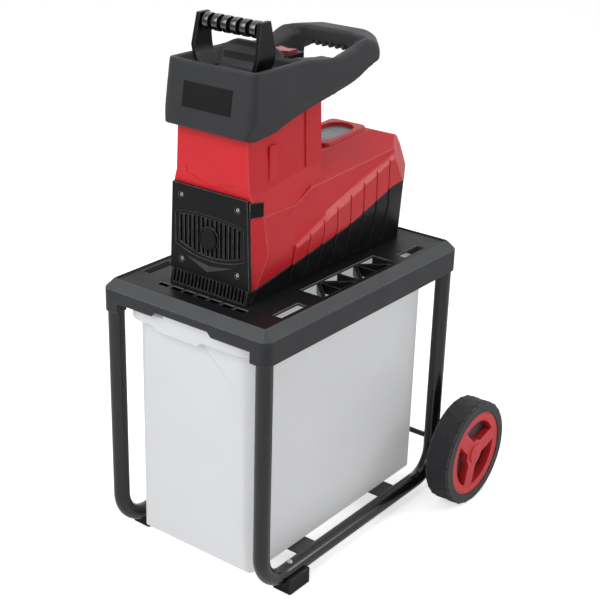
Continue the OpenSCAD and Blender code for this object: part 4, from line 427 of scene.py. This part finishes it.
class Workshop:
    """Turns meshes into dressed pieces that ride on the frame's bodies."""

    SLOTS: dict[str, str] = {s["node"]: s["material_slot"] for s in frame["record"]["subparts"]}
    BODIES: dict[str, str] = {
        n: body for body, nodes in frame["record"]["behaviour"]["bodies"].items() for n in nodes}

    @classmethod
    def piece(cls, bm: bmesh.types.BMesh, name: str, finish: Finish, nodes: list[str],
              replace: bool = True, smooth: float = 34.0,
              zones: dict[Finish, Zone] | None = None) -> bpy.types.Object:
        """Makes a piece of a bmesh, dresses it and lets it ride.

        Args:
            bm: The finished mesh, freed here.
            name: The piece's name.
            finish: Its finish.
            nodes: CAD nodes that it belongs to; the first gives its body.
            replace: Whether it stands for those nodes.
            smooth: Angle in degrees up to which edges are shaded smooth.
            zones: Further finishes, each with the test of the faces that take it.

        Returns:
            The piece.
        """
        for index, test in enumerate((zones or {}).values(), start=1):
            for face in bm.faces:
                if test(face):
                    face.material_index = index
        mesh = bpy.data.meshes.new(name)
        bm.to_mesh(mesh)
        bm.free()
        mesh.shade_smooth()
        mesh.set_sharp_from_angle(angle=math.radians(smooth))
        obj = bpy.data.objects.new(name, mesh)
        bpy.context.scene.collection.objects.link(obj)
        for each in (finish, *(zones or {})):
            mesh.materials.append(each.material())
        normals = obj.modifiers.new("even_normals", "WEIGHTED_NORMAL")
        normals.keep_sharp = True
        normals.weight = NORMAL_WEIGHT
        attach(obj, cls.BODIES[nodes[0]])
        if replace:
            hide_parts(*nodes)
        LOG.info("piece %s on %s, %d faces", name, cls.BODIES[nodes[0]], len(mesh.polygons))
        return obj

    @staticmethod
    def copy(node: str, join: bool = True) -> bmesh.types.BMesh:
        """Gives a merged copy of a CAD node's mesh.

        Args:
            node: The CAD node.
            join: Whether flat regions are joined into single faces, which suits
                regions without holes.

        Returns:
            The new bmesh.
        """
        bm = bmesh.new()
        bm.from_mesh(frame["nodes"][node].data)
        bmesh.ops.remove_doubles(bm, verts=bm.verts, dist=MERGE_CAD)
        if join:
            bmesh.ops.dissolve_limit(bm, angle_limit=FLAT_ANGLE, verts=bm.verts, edges=bm.edges)
        return bm

    @staticmethod
    def soften(bm: bmesh.types.BMesh, width: float, angle: float = 30.0, segments: int = 2) -> None:
        """Rounds the outward edges and marks the new faces for rubbing and painted edge highlights.

        Args:
            bm: The mesh to change.
            width: Width of the rounding in millimetres.
            angle: Smallest face angle, in degrees, of an edge to round.
            segments: Steps of the rounding.
        """
        layer = bm.faces.layers.float.new("edge")
        limit = math.radians(angle)
        edges = [e for e in bm.edges if len(e.link_faces) == 2
                 and e.is_convex and e.calc_face_angle(0.0) > limit]
        made = bmesh.ops.bevel(
            bm, geom=edges, offset=width * MM, offset_type="OFFSET", segments=segments, profile=0.5,
            affect="EDGES", clamp_overlap=False, material=-1)
        for face in made["faces"]:
            face[layer] = 1.0

    @classmethod
    def dress(cls, node: str, finish: Finish, width: float, angle: float = 30.0, segments: int = 2,
              join: bool = True, zones: dict[Finish, Zone] | None = None) -> bpy.types.Object:
        """Replaces a CAD node by a softened, dressed copy.

        Args:
            node: The CAD node.
            finish: Its finish.
            width: Width of the rounding in millimetres.
            angle: Smallest angle of an edge to round.
            segments: Steps of the rounding.
            join: Whether flat regions are joined into single faces first.
            zones: Further finishes, each with the test of the faces that take it.

        Returns:
            The piece.
        """
        bm = cls.copy(node, join)
        cls.soften(bm, width, angle, segments)
        return cls.piece(bm, node + "_dressed", finish, [node], zones=zones)

    @staticmethod
    def melt(bm: bmesh.types.BMesh, voxel: float, rounds: int) -> bmesh.types.BMesh:
        """Rebuilds a closed mesh on an even grid and rounds all its edges.

        Args:
            bm: The closed mesh, freed here.
            voxel: Size of the grid in millimetres.
            rounds: Smoothing steps.

        Returns:
            The rounded mesh.
        """
        mesh = bpy.data.meshes.new("melt")
        bm.to_mesh(mesh)
        bm.free()
        obj = bpy.data.objects.new("melt", mesh)
        bpy.context.scene.collection.objects.link(obj)
        grid = obj.modifiers.new("grid", "REMESH")
        grid.mode = "VOXEL"
        grid.voxel_size = voxel * MM
        made = bmesh.new()
        made.from_object(obj, bpy.context.evaluated_depsgraph_get())
        bpy.data.objects.remove(obj)
        bpy.data.meshes.remove(mesh)
        for _ in range(rounds):
            Workshop.smooth(made, list(made.verts))
        return made

    @staticmethod
    def smooth(bm: bmesh.types.BMesh, verts: list[bmesh.types.BMVert]) -> None:
        """Draws each given vertex half way to the middle of its neighbours."""
        bmesh.ops.smooth_vert(
            bm, verts=verts, factor=0.5, use_axis_x=True, use_axis_y=True, use_axis_z=True)

    @staticmethod
    def spin(bm: bmesh.types.BMesh, points: list[tuple[float, float]], steps: int,
             closed: bool) -> None:
        """Turns a line of points round the Z axis into a surface.

        Args:
            bm: The empty mesh that gets the surface.
            points: Radius and height of each point in millimetres.
            steps: Steps of the full turn.
            closed: Whether the last point joins the first.
        """
        line = [bm.verts.new(Vector((r, 0.0, z)) * MM) for r, z in points]
        ends = line[1:] + line[:1] if closed else line[1:]
        edges = [bm.edges.new(pair) for pair in zip(line, ends)]
        bmesh.ops.spin(
            bm, geom=line + edges, cent=(0, 0, 0), axis=(0, 0, 1), angle=FULL_TURN, steps=steps,
            use_merge=True)
        bmesh.ops.remove_doubles(bm, verts=bm.verts, dist=MERGE_SPUN)

    @staticmethod
    def cut(bm: bmesh.types.BMesh, point: Vector, normal: Vector, dist: float) -> None:
        """Cuts off what lies beyond a plane and closes the mesh again.

        Args:
            bm: The mesh to cut.
            point: A point of the plane in metres.
            normal: The plane's normal, which points to what is cut off.
            dist: Distance within which a vertex counts as on the plane.
        """
        whole = list(bm.verts) + list(bm.edges) + list(bm.faces)
        bmesh.ops.bisect_plane(
            bm, geom=whole, dist=dist, plane_co=point, plane_no=normal, clear_outer=True)
        Workshop.close(bm)

    @staticmethod
    def close(bm: bmesh.types.BMesh) -> None:
        """Fills every open boundary of a mesh."""
        bmesh.ops.holes_fill(bm, edges=[e for e in bm.edges if e.is_boundary], sides=0)

    @staticmethod
    def bar(bm: bmesh.types.BMesh, place: Matrix, size: Color, edge: float) -> None:
        """Adds a bar with rounded edges to a mesh.

        Args:
            bm: The mesh that gets the bar.
            place: Place and turn of the bar's middle, in metres.
            size: Sizes along its own axes in millimetres.
            edge: Width of the rounding in millimetres.
        """
        scale = Matrix.Diagonal((*(v * MM for v in size), 1.0))
        verts = bmesh.ops.create_cube(bm, size=1.0, matrix=place @ scale)["verts"]
        edges = {e for v in verts for e in v.link_edges}
        bmesh.ops.bevel(
            bm, geom=list(edges), offset=edge * MM, offset_type="OFFSET", segments=2, profile=0.5,
            affect="EDGES", clamp_overlap=True, material=-1)

    @classmethod
    def paint(cls, node: str, finish: Finish) -> None:
        """Gives a CAD node that stays as it is a finish.

        Args:
            node: The CAD node.
            finish: The finish.
        """
        mesh = frame["nodes"][node].data
        mesh.materials.clear()
        mesh.materials.append(finish.material())
        LOG.info("node %s painted with %s", node, finish.name)


@dataclass
class TubeFrame:
    """Bent tubes, crossbars, feet, axle and their fasteners."""

    edge: float = 0.8

    def build(self) -> None:
        """Builds and dresses all the pieces of the frame."""
        for node in ("frame_tube_left", "frame_tube_right"):
            Workshop.paint(node, TUBE_BLACK)
        for node in ("crossbar_front", "crossbar_rear"):
            Workshop.dress(node, BAR_BROWN, self.edge)
        for node in ("foot_left", "foot_right"):
            Workshop.dress(node, HOUSING_BLACK, 3 * self.edge, segments=3)
        for node in ("foot_screws", "leg_screws", "housing_screws", "axle_push_nuts"):
            Workshop.dress(node, ZINC, self.edge / 3)
        Workshop.paint("axle", TUBE_BLACK)
        Workshop.dress("axle_spacers", HOUSING_BLACK, self.edge)


@dataclass
class Wheel:
    """One road wheel with its tyre, rim and cap."""

    side: Side
    edge: float = 1.2
    radius: float = 100.0
    middle: Color = (232.0, 214.5, 100.0)
    sink: float = 0.8
    # inner radius, outer radius and outer face's X of the dish of painted shade behind the windows
    shade_dish: Color = (16.0, 73.0, 237.0)
    ring: Color = (64.0, 72.6, 254.2)
    lugs: int = 26
    lug_size: Color = (17.0, 7.0, 4.0)
    lug_turn: float = 32.0
    lug_out: float = 14.5
    lug_edge: float = 0.8
    lug_inset: float = 0.15
    tread_band: float = 1.0
    wall_facing: float = 0.9
    shade_dish_depth: float = 2.0
    ring_depth: float = 15.0
    steps: int = 64

    def build(self) -> None:
        """Builds and dresses the wheel."""
        name = self.side.name.lower()
        deep = self.shade_dish[2] * MM
        # the rim's faces deeper than the dish take the tyre black as painted shade
        Workshop.dress("wheel_rim_" + name, RIM_RED, self.edge, zones={
            TYRE_BLACK_AND_SHADE: lambda face: abs(face.calc_center_median().x) < deep})
        Workshop.dress("hub_cap_" + name, RIM_RED, self.edge / 2)
        bm = Workshop.copy("tyre_" + name)
        self.sink_tread(bm)
        Workshop.soften(bm, self.edge, segments=3)
        self.tread(bm)
        Workshop.piece(bm, f"tyre_{name}_dressed", TYRE_BLACK_AND_SHADE, ["tyre_" + name], zones={
            TYRE_WALL: lambda face: abs(face.normal.x) > self.wall_facing})
        # dish of painted shade behind the rim's windows
        self.turned("wheel_web", self.shade_dish, self.shade_dish_depth, SHADE_DISH_GREY)
        self.turned("wheel_ring", self.ring, self.ring_depth, RIM_RED)

    def centre(self) -> Matrix:
        """Gives the place of the wheel's middle in metres."""
        x, y, z = self.middle
        return Matrix.Translation((self.side.value * x * MM, y * MM, z * MM))

    def turned(self, name: str, size: Color, depth: float, finish: Finish) -> None:
        """Turns a flat ring round the axle.

        Args:
            name: Name of the new piece, without its side.
            size: Inner radius, outer radius and the outer face's X in millimetres.
            depth: Thickness in millimetres.
            finish: Its finish.
        """
        inner, outer, x = size
        bm = bmesh.new()
        section = [(inner, 0.0), (outer, 0.0), (outer, -depth), (inner, -depth)]
        Workshop.spin(bm, section, self.steps, closed=True)
        turn = Matrix.Rotation(self.side.value * math.pi / 2, 4, "Y")
        shift = Matrix.Translation((self.side.value * (x - self.middle[0]) * MM, 0.0, 0.0))
        bmesh.ops.transform(bm, matrix=self.centre() @ shift @ turn, verts=bm.verts)
        bmesh.ops.recalc_face_normals(bm, faces=bm.faces)
        side = self.side.name.lower()
        Workshop.piece(bm, f"{name}_{side}", finish, ["wheel_rim_" + side], replace=False)

    def sink_tread(self, bm: bmesh.types.BMesh) -> None:
        """Draws the tread's ground in, so that the lugs end at the tyre's true radius.

        Args:
            bm: The tyre's mesh.
        """
        hub = self.centre().to_translation()
        least = (self.radius - self.tread_band) * MM
        ground = [v for v in bm.verts if (v.co - hub).yz.length > least]
        share = 1.0 - self.sink / self.radius
        bmesh.ops.scale(bm, vec=(1.0, share, share), space=self.centre().inverted(), verts=ground)

    def tread(self, bm: bmesh.types.BMesh) -> None:
        """Sets slanted lugs round the tread, in two staggered rows.

        Args:
            bm: The tyre's mesh.
        """
        up = (self.radius - self.lug_size[2] / 2 - self.lug_inset) * MM
        for row in (-1, 1):
            for i in range(self.lugs):
                angle = FULL_TURN * (i + row / 4) / self.lugs
                place = (self.centre() @ Matrix.Rotation(angle, 4, "X")
                         @ Matrix.Translation((row * self.lug_out * MM, 0.0, up))
                         @ Matrix.Rotation(row * math.radians(self.lug_turn), 4, "Z"))
                Workshop.bar(bm, place, self.lug_size, self.lug_edge)


@dataclass
class Table:
    """The moulded table and the collection box that slides in below it."""

    edge: float = 1.5
    lattice: tuple[Color, Color] = ((101.1, -136.4, 493.3), (146.9, 69.4, 495.3))
    front_slots: tuple[Color, Color] = ((-94.0, -272.0, 493.3), (94.0, -255.0, 495.3))
    stretch: float = 8.0
    level: float = 0.97
    slope: float = 0.3
    cut_dist: float = 1e-7

    def build(self) -> None:
        """Builds and dresses the table and the box."""
        Workshop.dress("table", SKIRT_GREY, self.edge, join=False, zones={
            DECK_BLACK_AND_SHADE: lambda face: face.normal.z > self.level,
            RIM_GREY: lambda face: self.slope < face.normal.z <= self.level,
        })
        Workshop.dress("collection_box", MILKY_WHITE, self.edge, join=False)
        self.deepen("slot_walls", *self.front_slots)
        low, high = self.lattice
        self.deepen("lattice_ribs_right", low, high)
        self.deepen("lattice_ribs_left", (-high[0], *low[1:]), (-low[0], *high[1:]))

    def deepen(self, name: str, low: Color, high: Color) -> None:
        """Deepens the walls of the deck's openings inside a box.

        Args:
            name: Name of the new piece.
            low: Least corner of the box in millimetres.
            high: Greatest corner of the box in millimetres.
        """
        bm = Workshop.copy("table", join=False)
        for axis in range(3):
            for limit, sign in ((low[axis], -1.0), (high[axis], 1.0)):
                normal = Vector((0.0, 0.0, 0.0))
                normal[axis] = sign
                Workshop.cut(bm, normal * sign * limit * MM, normal, self.cut_dist)
        top = Matrix.Translation((0.0, 0.0, -high[2] * MM))
        bmesh.ops.scale(bm, vec=(1.0, 1.0, self.stretch), space=top, verts=bm.verts)
        Workshop.piece(bm, name, DECK_BLACK_AND_SHADE, ["table"], replace=False)


@dataclass
class Housing:
    """Red upper housing, black lower housing, front cover and plate."""

    edge: float = 1.5
    front_y: float = -238.5
    cover_y: float = -245.8
    chevron_z: float = 539.3
    chevron_size: Color = (50.0, 5.2, 5.9)
    screw_places: tuple[tuple[float, float], ...] = (
        (-58.0, 544.0), (58.0, 544.0), (-58.0, 652.0), (58.0, 652.0))
    screw_share: float = 0.66
    screw_reach: float = 10.0
    disc_z: float = 592.0
    disc_r: float = 18.0
    disc_line: tuple[tuple[float, float], ...] = (
        (0.0, -1.0), (0.0, 3.6), (-1.0, 4.6), (-2.6, 4.6), (-3.4, 3.6), (-6.0, 3.5), (-17.999, 3.9))
    disc_steps: int = 48
    chevron_turn: float = 15.4
    chevron_tip: float = 0.03
    chevron_start: float = 0.48
    bead_points: tuple[tuple[float, float], ...] = (
        (-54.0, 698.0), (-52.0, 689.0), (-4.0, 677.0), (44.0, 686.0))
    bead: float = 2.2
    rib_edge: float = 1.2
    rib_size: Color = (3.0, 19.0, 58.0)
    rib_place: Color = (74.5, -180.5, 716.0)

    def build(self) -> None:
        """Builds and dresses the housing."""
        Workshop.dress("upper_housing", SHELL_RED, self.edge, angle=12.0)
        Workshop.dress("lower_housing", HOUSING_BLACK, self.edge, angle=20.0)
        Workshop.dress("front_cover", COVER_BLACK, self.edge * 2 / 3)
        self.cover_screws()
        Workshop.dress("rating_plate", PLATE_GREY, self.edge / 5)
        self.relief()
        self.chevron()
        self.disc()

    def relief(self) -> None:
        """Adds the bead on the tower's front and the ribs on its sides."""
        bm = bmesh.new()
        points = [Vector((x, self.front_y, z)) * MM for x, z in self.bead_points]
        for start, end in zip(points, points[1:]):
            along = end - start
            turn = along.to_track_quat("X", "Z").to_matrix().to_4x4()
            place = Matrix.Translation((start + end) / 2) @ turn
            size = (along.length / MM + self.bead, self.bead, self.bead)
            Workshop.bar(bm, place, size, self.bead / 3)
        x, y, z = self.rib_place
        for side in Side:
            place = Matrix.Translation((side.value * x * MM, y * MM, z * MM))
            Workshop.bar(bm, place, self.rib_size, self.rib_edge)
        Workshop.piece(bm, "tower_relief", SHELL_RED, ["upper_housing"], replace=False)

    def cover_screws(self) -> None:
        """Makes the cover's screws a little small, so that the recess shows round them."""
        bm = Workshop.copy("cover_screws")
        for x, z in self.screw_places:
            middle = Vector((x, self.cover_y, z)) * MM
            near = [v for v in bm.verts if (v.co - middle).xz.length < self.screw_reach * MM]
            shares = (self.screw_share, 1.0, self.screw_share)
            bmesh.ops.scale(bm, vec=shares, space=Matrix.Translation(-middle), verts=near)
        Workshop.soften(bm, self.edge / 3)
        Workshop.piece(bm, "cover_screws_dressed", STEEL, ["cover_screws"])

    def chevron(self) -> None:
        """Adds the chevron below the grille, two three-sided spikes that meet in the middle, in the
        lighter hopper grey as a painted highlight on its facets.
        """
        bm = bmesh.new()
        length, depth, height = (v * MM for v in self.chevron_size)
        for side in Side:
            lean = Matrix.Rotation(-side.value * math.radians(self.chevron_turn), 4, "Y")
            spike = Matrix(((0.0, 0.0, side.value * length, 0.0), (depth, 0.0, 0.0, 0.0),
                            (0.0, height, 0.0, 0.0), (0.0, 0.0, 0.0, 1.0)))
            root = Matrix.Translation((0.0, self.cover_y * MM, self.chevron_z * MM))
            out = Matrix.Translation((0.0, 0.0, self.chevron_start))
            bmesh.ops.create_cone(
                bm, cap_ends=True, segments=3, radius1=1.0, radius2=self.chevron_tip, depth=1.0,
                matrix=root @ lean @ spike @ out)
        bmesh.ops.recalc_face_normals(bm, faces=bm.faces)
        Workshop.piece(bm, "cover_chevron", HOPPER_GREY_AND_HIGHLIGHT, ["front_cover"], replace=False)

    def disc(self) -> None:
        """Turns the plain round disc in the grille's middle, with a bead round its face."""
        bm = bmesh.new()
        section = [(self.disc_r + inward, z) for inward, z in self.disc_line]
        Workshop.spin(bm, section, self.disc_steps, closed=False)
        Workshop.close(bm)
        root = Matrix.Translation((0.0, self.cover_y * MM, self.disc_z * MM))
        turn = Matrix.Rotation(math.pi / 2, 4, "X")
        bmesh.ops.transform(bm, matrix=root @ turn, verts=bm.verts)
        bmesh.ops.recalc_face_normals(bm, faces=bm.faces)
        Workshop.piece(bm, "grille_disc", COVER_BLACK, ["front_cover"], replace=False)


@dataclass
class Hopper:
    """Feed hopper with its loop, plain plate and loose pusher."""

    edge: float = 2.5
    voxel: float = 2.2
    rounds: int = 5
    loop_y: float = -36.0
    loop_rounds: int = 14
    ridges: int = 7
    ridge_pitch: float = 13.5
    ridge_size: Color = (7.0, 24.0, 9.0)
    ridge_place: Color = (0.0, 69.0, 850.5)
    ridge_edge: float = 3.0
    shade_angle: float = 60.0
    cut_dist: float = 1e-6
    keel: Color = (95.0, -60.0, 797.0)
    run: Color = (0.0, 100.0, 10.0)
    slant: Color = (-9.0, 0.0, -27.0)
    # box of the hood's wall behind the mouth that is painted dark as shade
    shade_box: tuple[Color, Color] = ((-75.0, -136.0, 828.0), (75.0, -96.0, 861.0))
    grip_axis: Color = (0.0, -189.7, 919.8)
    groove_r: float = 11.6
    pad: Color = (51.5, -190.0, 859.0)
    pad_size: Color = (6.0, 40.0, 21.0)
    pad_turn: float = 29.4
    pad_ridges: int = 9
    pad_edge: float = 1.0
    pad_ridge_out: float = 2.4
    pad_ridge_edge: float = 0.6
    shade_facing: float = -0.25

    def build(self) -> None:
        """Builds and dresses the hopper and the pusher."""
        bm = Workshop.copy("hopper")
        for side in Side:
            self.slant_underside(bm, side)
        bm = Workshop.melt(bm, self.voxel, self.rounds)
        self.round_loop(bm)
        # the hood's wall behind the mouth is painted with the deck black as shade
        Workshop.piece(bm, "hopper_dressed", HOPPER_GREY_AND_HIGHLIGHT, ["hopper"], smooth=self.shade_angle,
                       zones={DECK_BLACK_AND_SHADE: self.in_painted_shade})
        self.finger_ridges()
        Workshop.dress("front_plate", PLATE_BLACK, self.edge / 8)
        Workshop.dress("pusher_body", PUSHER_BLACK, self.edge / 2)
        # the grip's grooves get painted shade
        Workshop.dress("pusher_grip", GRIP_BLACK, self.edge / 2,
                       zones={GROOVE_SHADE_BLACK: self.in_groove})
        self.thumb_pads()

    def in_painted_shade(self, face: bmesh.types.BMFace) -> bool:
        """Tells whether a face lies in the wall behind the mouth, which is painted dark as shade
        under the hood.

        Args:
            face: A face of the hopper.

        Returns:
            Whether the face gets the painted shade.
        """
        low, high = self.shade_box
        middle = face.calc_center_median() / MM
        inside = all(a < v < b for a, v, b in zip(low, middle, high))
        return inside and face.normal.y < self.shade_facing

    def in_groove(self, face: bmesh.types.BMFace) -> bool:
        """Tells whether a face of the grip lies between its ribs, where shade is painted.

        Args:
            face: A face of the grip.

        Returns:
            Whether the face is in a groove.
        """
        axis = Vector(self.grip_axis)
        return (face.calc_center_median() / MM - axis).yz.length < self.groove_r

    def thumb_pads(self) -> None:
        """Sets a ribbed pad inside each side plate of the pusher."""
        bm = bmesh.new()
        x, y, z = self.pad
        thick, deep, high = self.pad_size
        pitch = deep / self.pad_ridges
        for side in Side:
            place = (Matrix.Translation((side.value * x * MM, y * MM, z * MM))
                     @ Matrix.Rotation(side.value * math.radians(self.pad_turn), 4, "Y"))
            Workshop.bar(bm, place, self.pad_size, self.pad_edge)
            ridge = (thick + self.pad_ridge_out, pitch / 2, high)
            for i in range(self.pad_ridges):
                along = (i - (self.pad_ridges - 1) / 2) * pitch * MM
                step = Matrix.Translation((0.0, along, 0.0))
                Workshop.bar(bm, place @ step, ridge, self.pad_ridge_edge)
        Workshop.piece(bm, "pusher_thumb_pads", RIM_GREY, ["pusher_body"], replace=False)

    def slant_underside(self, bm: bmesh.types.BMesh, side: Side) -> None:
        """Cuts the lower edge of one side of the hopper and its arm at a slant.

        Args:
            bm: The hopper's mesh.
            side: The side to cut.
        """
        x, y, z = self.keel
        slant = Vector(self.slant)
        point = Vector((side.value * x, y, z - slant.z)) * MM
        across = Vector((side.value * slant.x, 0.0, slant.z))
        normal = Vector(self.run).cross(across).normalized()
        if normal.z > 0.0:
            normal.negate()
        Workshop.cut(bm, point, normal, self.cut_dist)

    def finger_ridges(self) -> None:
        """Sets the row of rounded finger ridges under the grip bar."""
        bm = bmesh.new()
        x, y, z = self.ridge_place
        for i in range(self.ridges):
            place = Matrix.Translation(
                ((x + (i - (self.ridges - 1) / 2) * self.ridge_pitch) * MM, y * MM, z * MM))
            Workshop.bar(bm, place, self.ridge_size, self.ridge_edge)
        Workshop.piece(bm, "grip_ridges", HOPPER_GREY_AND_HIGHLIGHT, ["hopper"], replace=False)

    def round_loop(self, bm: bmesh.types.BMesh) -> None:
        """Rounds the loop handle further than the rest of the hopper.

        Args:
            bm: The hopper's mesh.
        """
        for _ in range(self.loop_rounds):
            loop = [v for v in bm.verts if v.co.y > self.loop_y * MM]
            Workshop.smooth(bm, loop)


@dataclass
class Inside:
    """Cutting unit and drive inside the housing."""

    finishes: dict[str, Finish] = field(default_factory=lambda: {
        "feed_chute": HOUSING_BLACK, "cutting_chamber": CAST, "cutting_roller": STEEL,
        "roller_bearings": ZINC, "counter_plate": CAST, "gearbox_case": CAST,
        "output_gear": STEEL, "intermediate_gear": STEEL, "motor_casing": CAST,
        "motor_stator": COPPER, "motor_rotor": STEEL, "motor_bearings": ZINC,
        "motor_end_bracket": CAST, "motor_fan": HOUSING_BLACK})

    def build(self) -> None:
        """Paints the pieces, which keep their CAD form."""
        for node, finish in self.finishes.items():
            Workshop.paint(node, finish)


@dataclass
class Controls:
    """Switch box with rockers and reset button, mains inlet and adjusting screw."""

    edge: float = 0.8

    def build(self) -> None:
        """Builds and dresses the controls."""
        Workshop.dress("switch_box", HOUSING_BLACK, self.edge)
        Workshop.dress("power_rocker", SWITCH_RED, self.edge)
        Workshop.dress("reverse_rocker", HOUSING_BLACK, self.edge)
        Workshop.dress("reset_button", CLEAR_CAP, self.edge)
        Workshop.dress("mains_inlet", HOUSING_BLACK, self.edge)
        Workshop.dress("adjusting_screw", HOUSING_BLACK, self.edge)


@dataclass(frozen=True)
class Lamp:
    """A soft rectangular lamp: its place and size in metres and its power in watts."""

    name: str
    place: Color
    size: tuple[float, float]
    power: float

    def build(self, aim: Vector) -> None:
        """Hangs the lamp and turns it to the aim.

        Args:
            aim: The point that it shines at.
        """
        data = bpy.data.lights.new(self.name, "AREA")
        data.shape = "RECTANGLE"
        data.size, data.size_y = self.size
        data.energy = self.power
        lamp = bpy.data.objects.new(self.name, data)
        lamp.location = self.place
        lamp.rotation_euler = (aim - Vector(self.place)).to_track_quat("-Z", "Y").to_euler()
        bpy.context.scene.collection.objects.link(lamp)


@dataclass
class Studio:
    """Camera, soft lights, pale floor and white surroundings."""

    azimuth: float = 37.056
    elevation: float = 23.038
    roll: float = 1.609
    focal_px: float = 1332.276
    image_px: float = 600.0
    sensor: float = 36.0
    place: Color = (1.3010, -1.7264, 1.3272)
    floor_half: float = 6.0
    floor_drop: float = 0.0005
    floor_color: Color = (0.93, 0.93, 0.93)
    floor_roughness: float = 0.9
    floor_lift: float = 0.60
    aim: Color = (0.0, 0.0, 0.55)
    lamps: tuple[Lamp, ...] = (
        Lamp("key", (-0.6, -2.6, 2.6), (3.2, 2.0), 88.0),
        Lamp("side", (2.8, -0.6, 1.7), (2.2, 2.2), 3.0),
        Lamp("top", (0.2, 0.6, 3.2), (2.4, 2.4), 15.0),
        Lamp("rim", (2.45, 1.8, 1.9), (1.1, 1.1), 26.0))
    ambient: float = 0.34
    dim: float = 0.35

    def build(self) -> None:
        """Sets up the camera, the lights, the floor and the world."""
        self.camera()
        self.lights()
        self.floor()
        self.world()
        bpy.context.scene.view_settings.view_transform = "Standard"

    def camera(self) -> None:
        """Puts the camera at the photograph's place and angle."""
        az, el, roll = (math.radians(v) for v in (self.azimuth, self.elevation, self.roll))
        forward = Vector((-math.sin(az) * math.cos(el), math.cos(az) * math.cos(el), -math.sin(el)))
        right = Vector((math.cos(az), math.sin(az), 0.0))
        up = right.cross(forward)
        across = right * math.cos(roll) + up * math.sin(roll)
        upright = up * math.cos(roll) - right * math.sin(roll)
        turn = Matrix((across, upright, -forward)).transposed()
        data = bpy.data.cameras.new("photo_camera")
        data.sensor_width = self.sensor
        data.lens = self.sensor * self.focal_px / self.image_px
        cam = bpy.data.objects.new("photo_camera", data)
        cam.matrix_world = Matrix.Translation(self.place) @ turn.to_4x4()
        bpy.context.scene.collection.objects.link(cam)
        bpy.context.scene.camera = cam

    def lights(self) -> None:
        """Places the large soft lamps."""
        for lamp in self.lamps:
            lamp.build(Vector(self.aim))

    def floor(self) -> None:
        """Lays the pale floor, which keeps the object's shadow."""
        bm = bmesh.new()
        bmesh.ops.create_grid(bm, x_segments=1, y_segments=1, size=self.floor_half)
        mesh = bpy.data.meshes.new("floor")
        bm.to_mesh(mesh)
        bm.free()
        obj = bpy.data.objects.new("floor", mesh)
        obj.location.z = -self.floor_drop
        bpy.context.scene.collection.objects.link(obj)
        mat = bpy.data.materials.new("floor_white")
        mat.use_nodes = True
        tree = mat.node_tree
        shader = tree.nodes["Principled BSDF"]
        shader.inputs["Base Color"].default_value = (*self.floor_color, 1.0)
        shader.inputs["Roughness"].default_value = self.floor_roughness
        path = tree.nodes.new("ShaderNodeLightPath")
        lift = EffectLibrary.times(tree)
        lift.inputs[1].default_value = self.floor_lift
        shader.inputs["Emission Color"].default_value = WHITE
        tree.links.new(path.outputs["Is Camera Ray"], lift.inputs[0])
        tree.links.new(lift.outputs["Value"], shader.inputs["Emission Strength"])
        mesh.materials.append(mat)

    def world(self) -> None:
        """Fills the surroundings with even white, dimmer where reflections show the front."""
        world = bpy.data.worlds.new("white_room")
        world.use_nodes = True
        tree = world.node_tree
        back = tree.nodes["Background"]
        back.inputs["Color"].default_value = WHITE
        path = tree.nodes.new("ShaderNodeLightPath")
        seen = tree.nodes.new("ShaderNodeMath")
        seen.operation = "MAXIMUM"
        tree.links.new(path.outputs["Is Camera Ray"], seen.inputs[0])
        tree.links.new(path.outputs["Is Transmission Ray"], seen.inputs[1])
        level = EffectLibrary.span(tree, 0.0, 1.0, self.ambient, 1.0)
        tree.links.new(seen.outputs["Value"], level.inputs["Value"])
        shape = tree.nodes.new("ShaderNodeNewGeometry")
        split = tree.nodes.new("ShaderNodeSeparateXYZ")
        depth = EffectLibrary.span(tree, -0.2, 0.6, 1.0, self.dim)
        tree.links.new(shape.outputs["Incoming"], split.inputs["Vector"])
        tree.links.new(split.outputs["Y"], depth.inputs["Value"])
        choice = tree.nodes.new("ShaderNodeMix")
        tree.links.new(path.outputs["Is Glossy Ray"], choice.inputs["Factor"])
        tree.links.new(level.outputs["Result"], choice.inputs["A"])
        tree.links.new(depth.outputs["Result"], choice.inputs["B"])
        tree.links.new(choice.outputs["Result"], back.inputs["Strength"])
        bpy.context.scene.world = world


def main() -> None:
    """Builds every sub-assembly."""
    logging.basicConfig(level=logging.INFO, format="%(message)s")
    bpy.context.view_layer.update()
    for part in (
        Studio(), TubeFrame(), Wheel(Side.LEFT), Wheel(Side.RIGHT), Table(), Housing(), Hopper(),
        Inside(), Controls(),
    ):
        LOG.info("building %s", type(part).__name__)
        part.build()


if __name__ == "__main__":
    main()
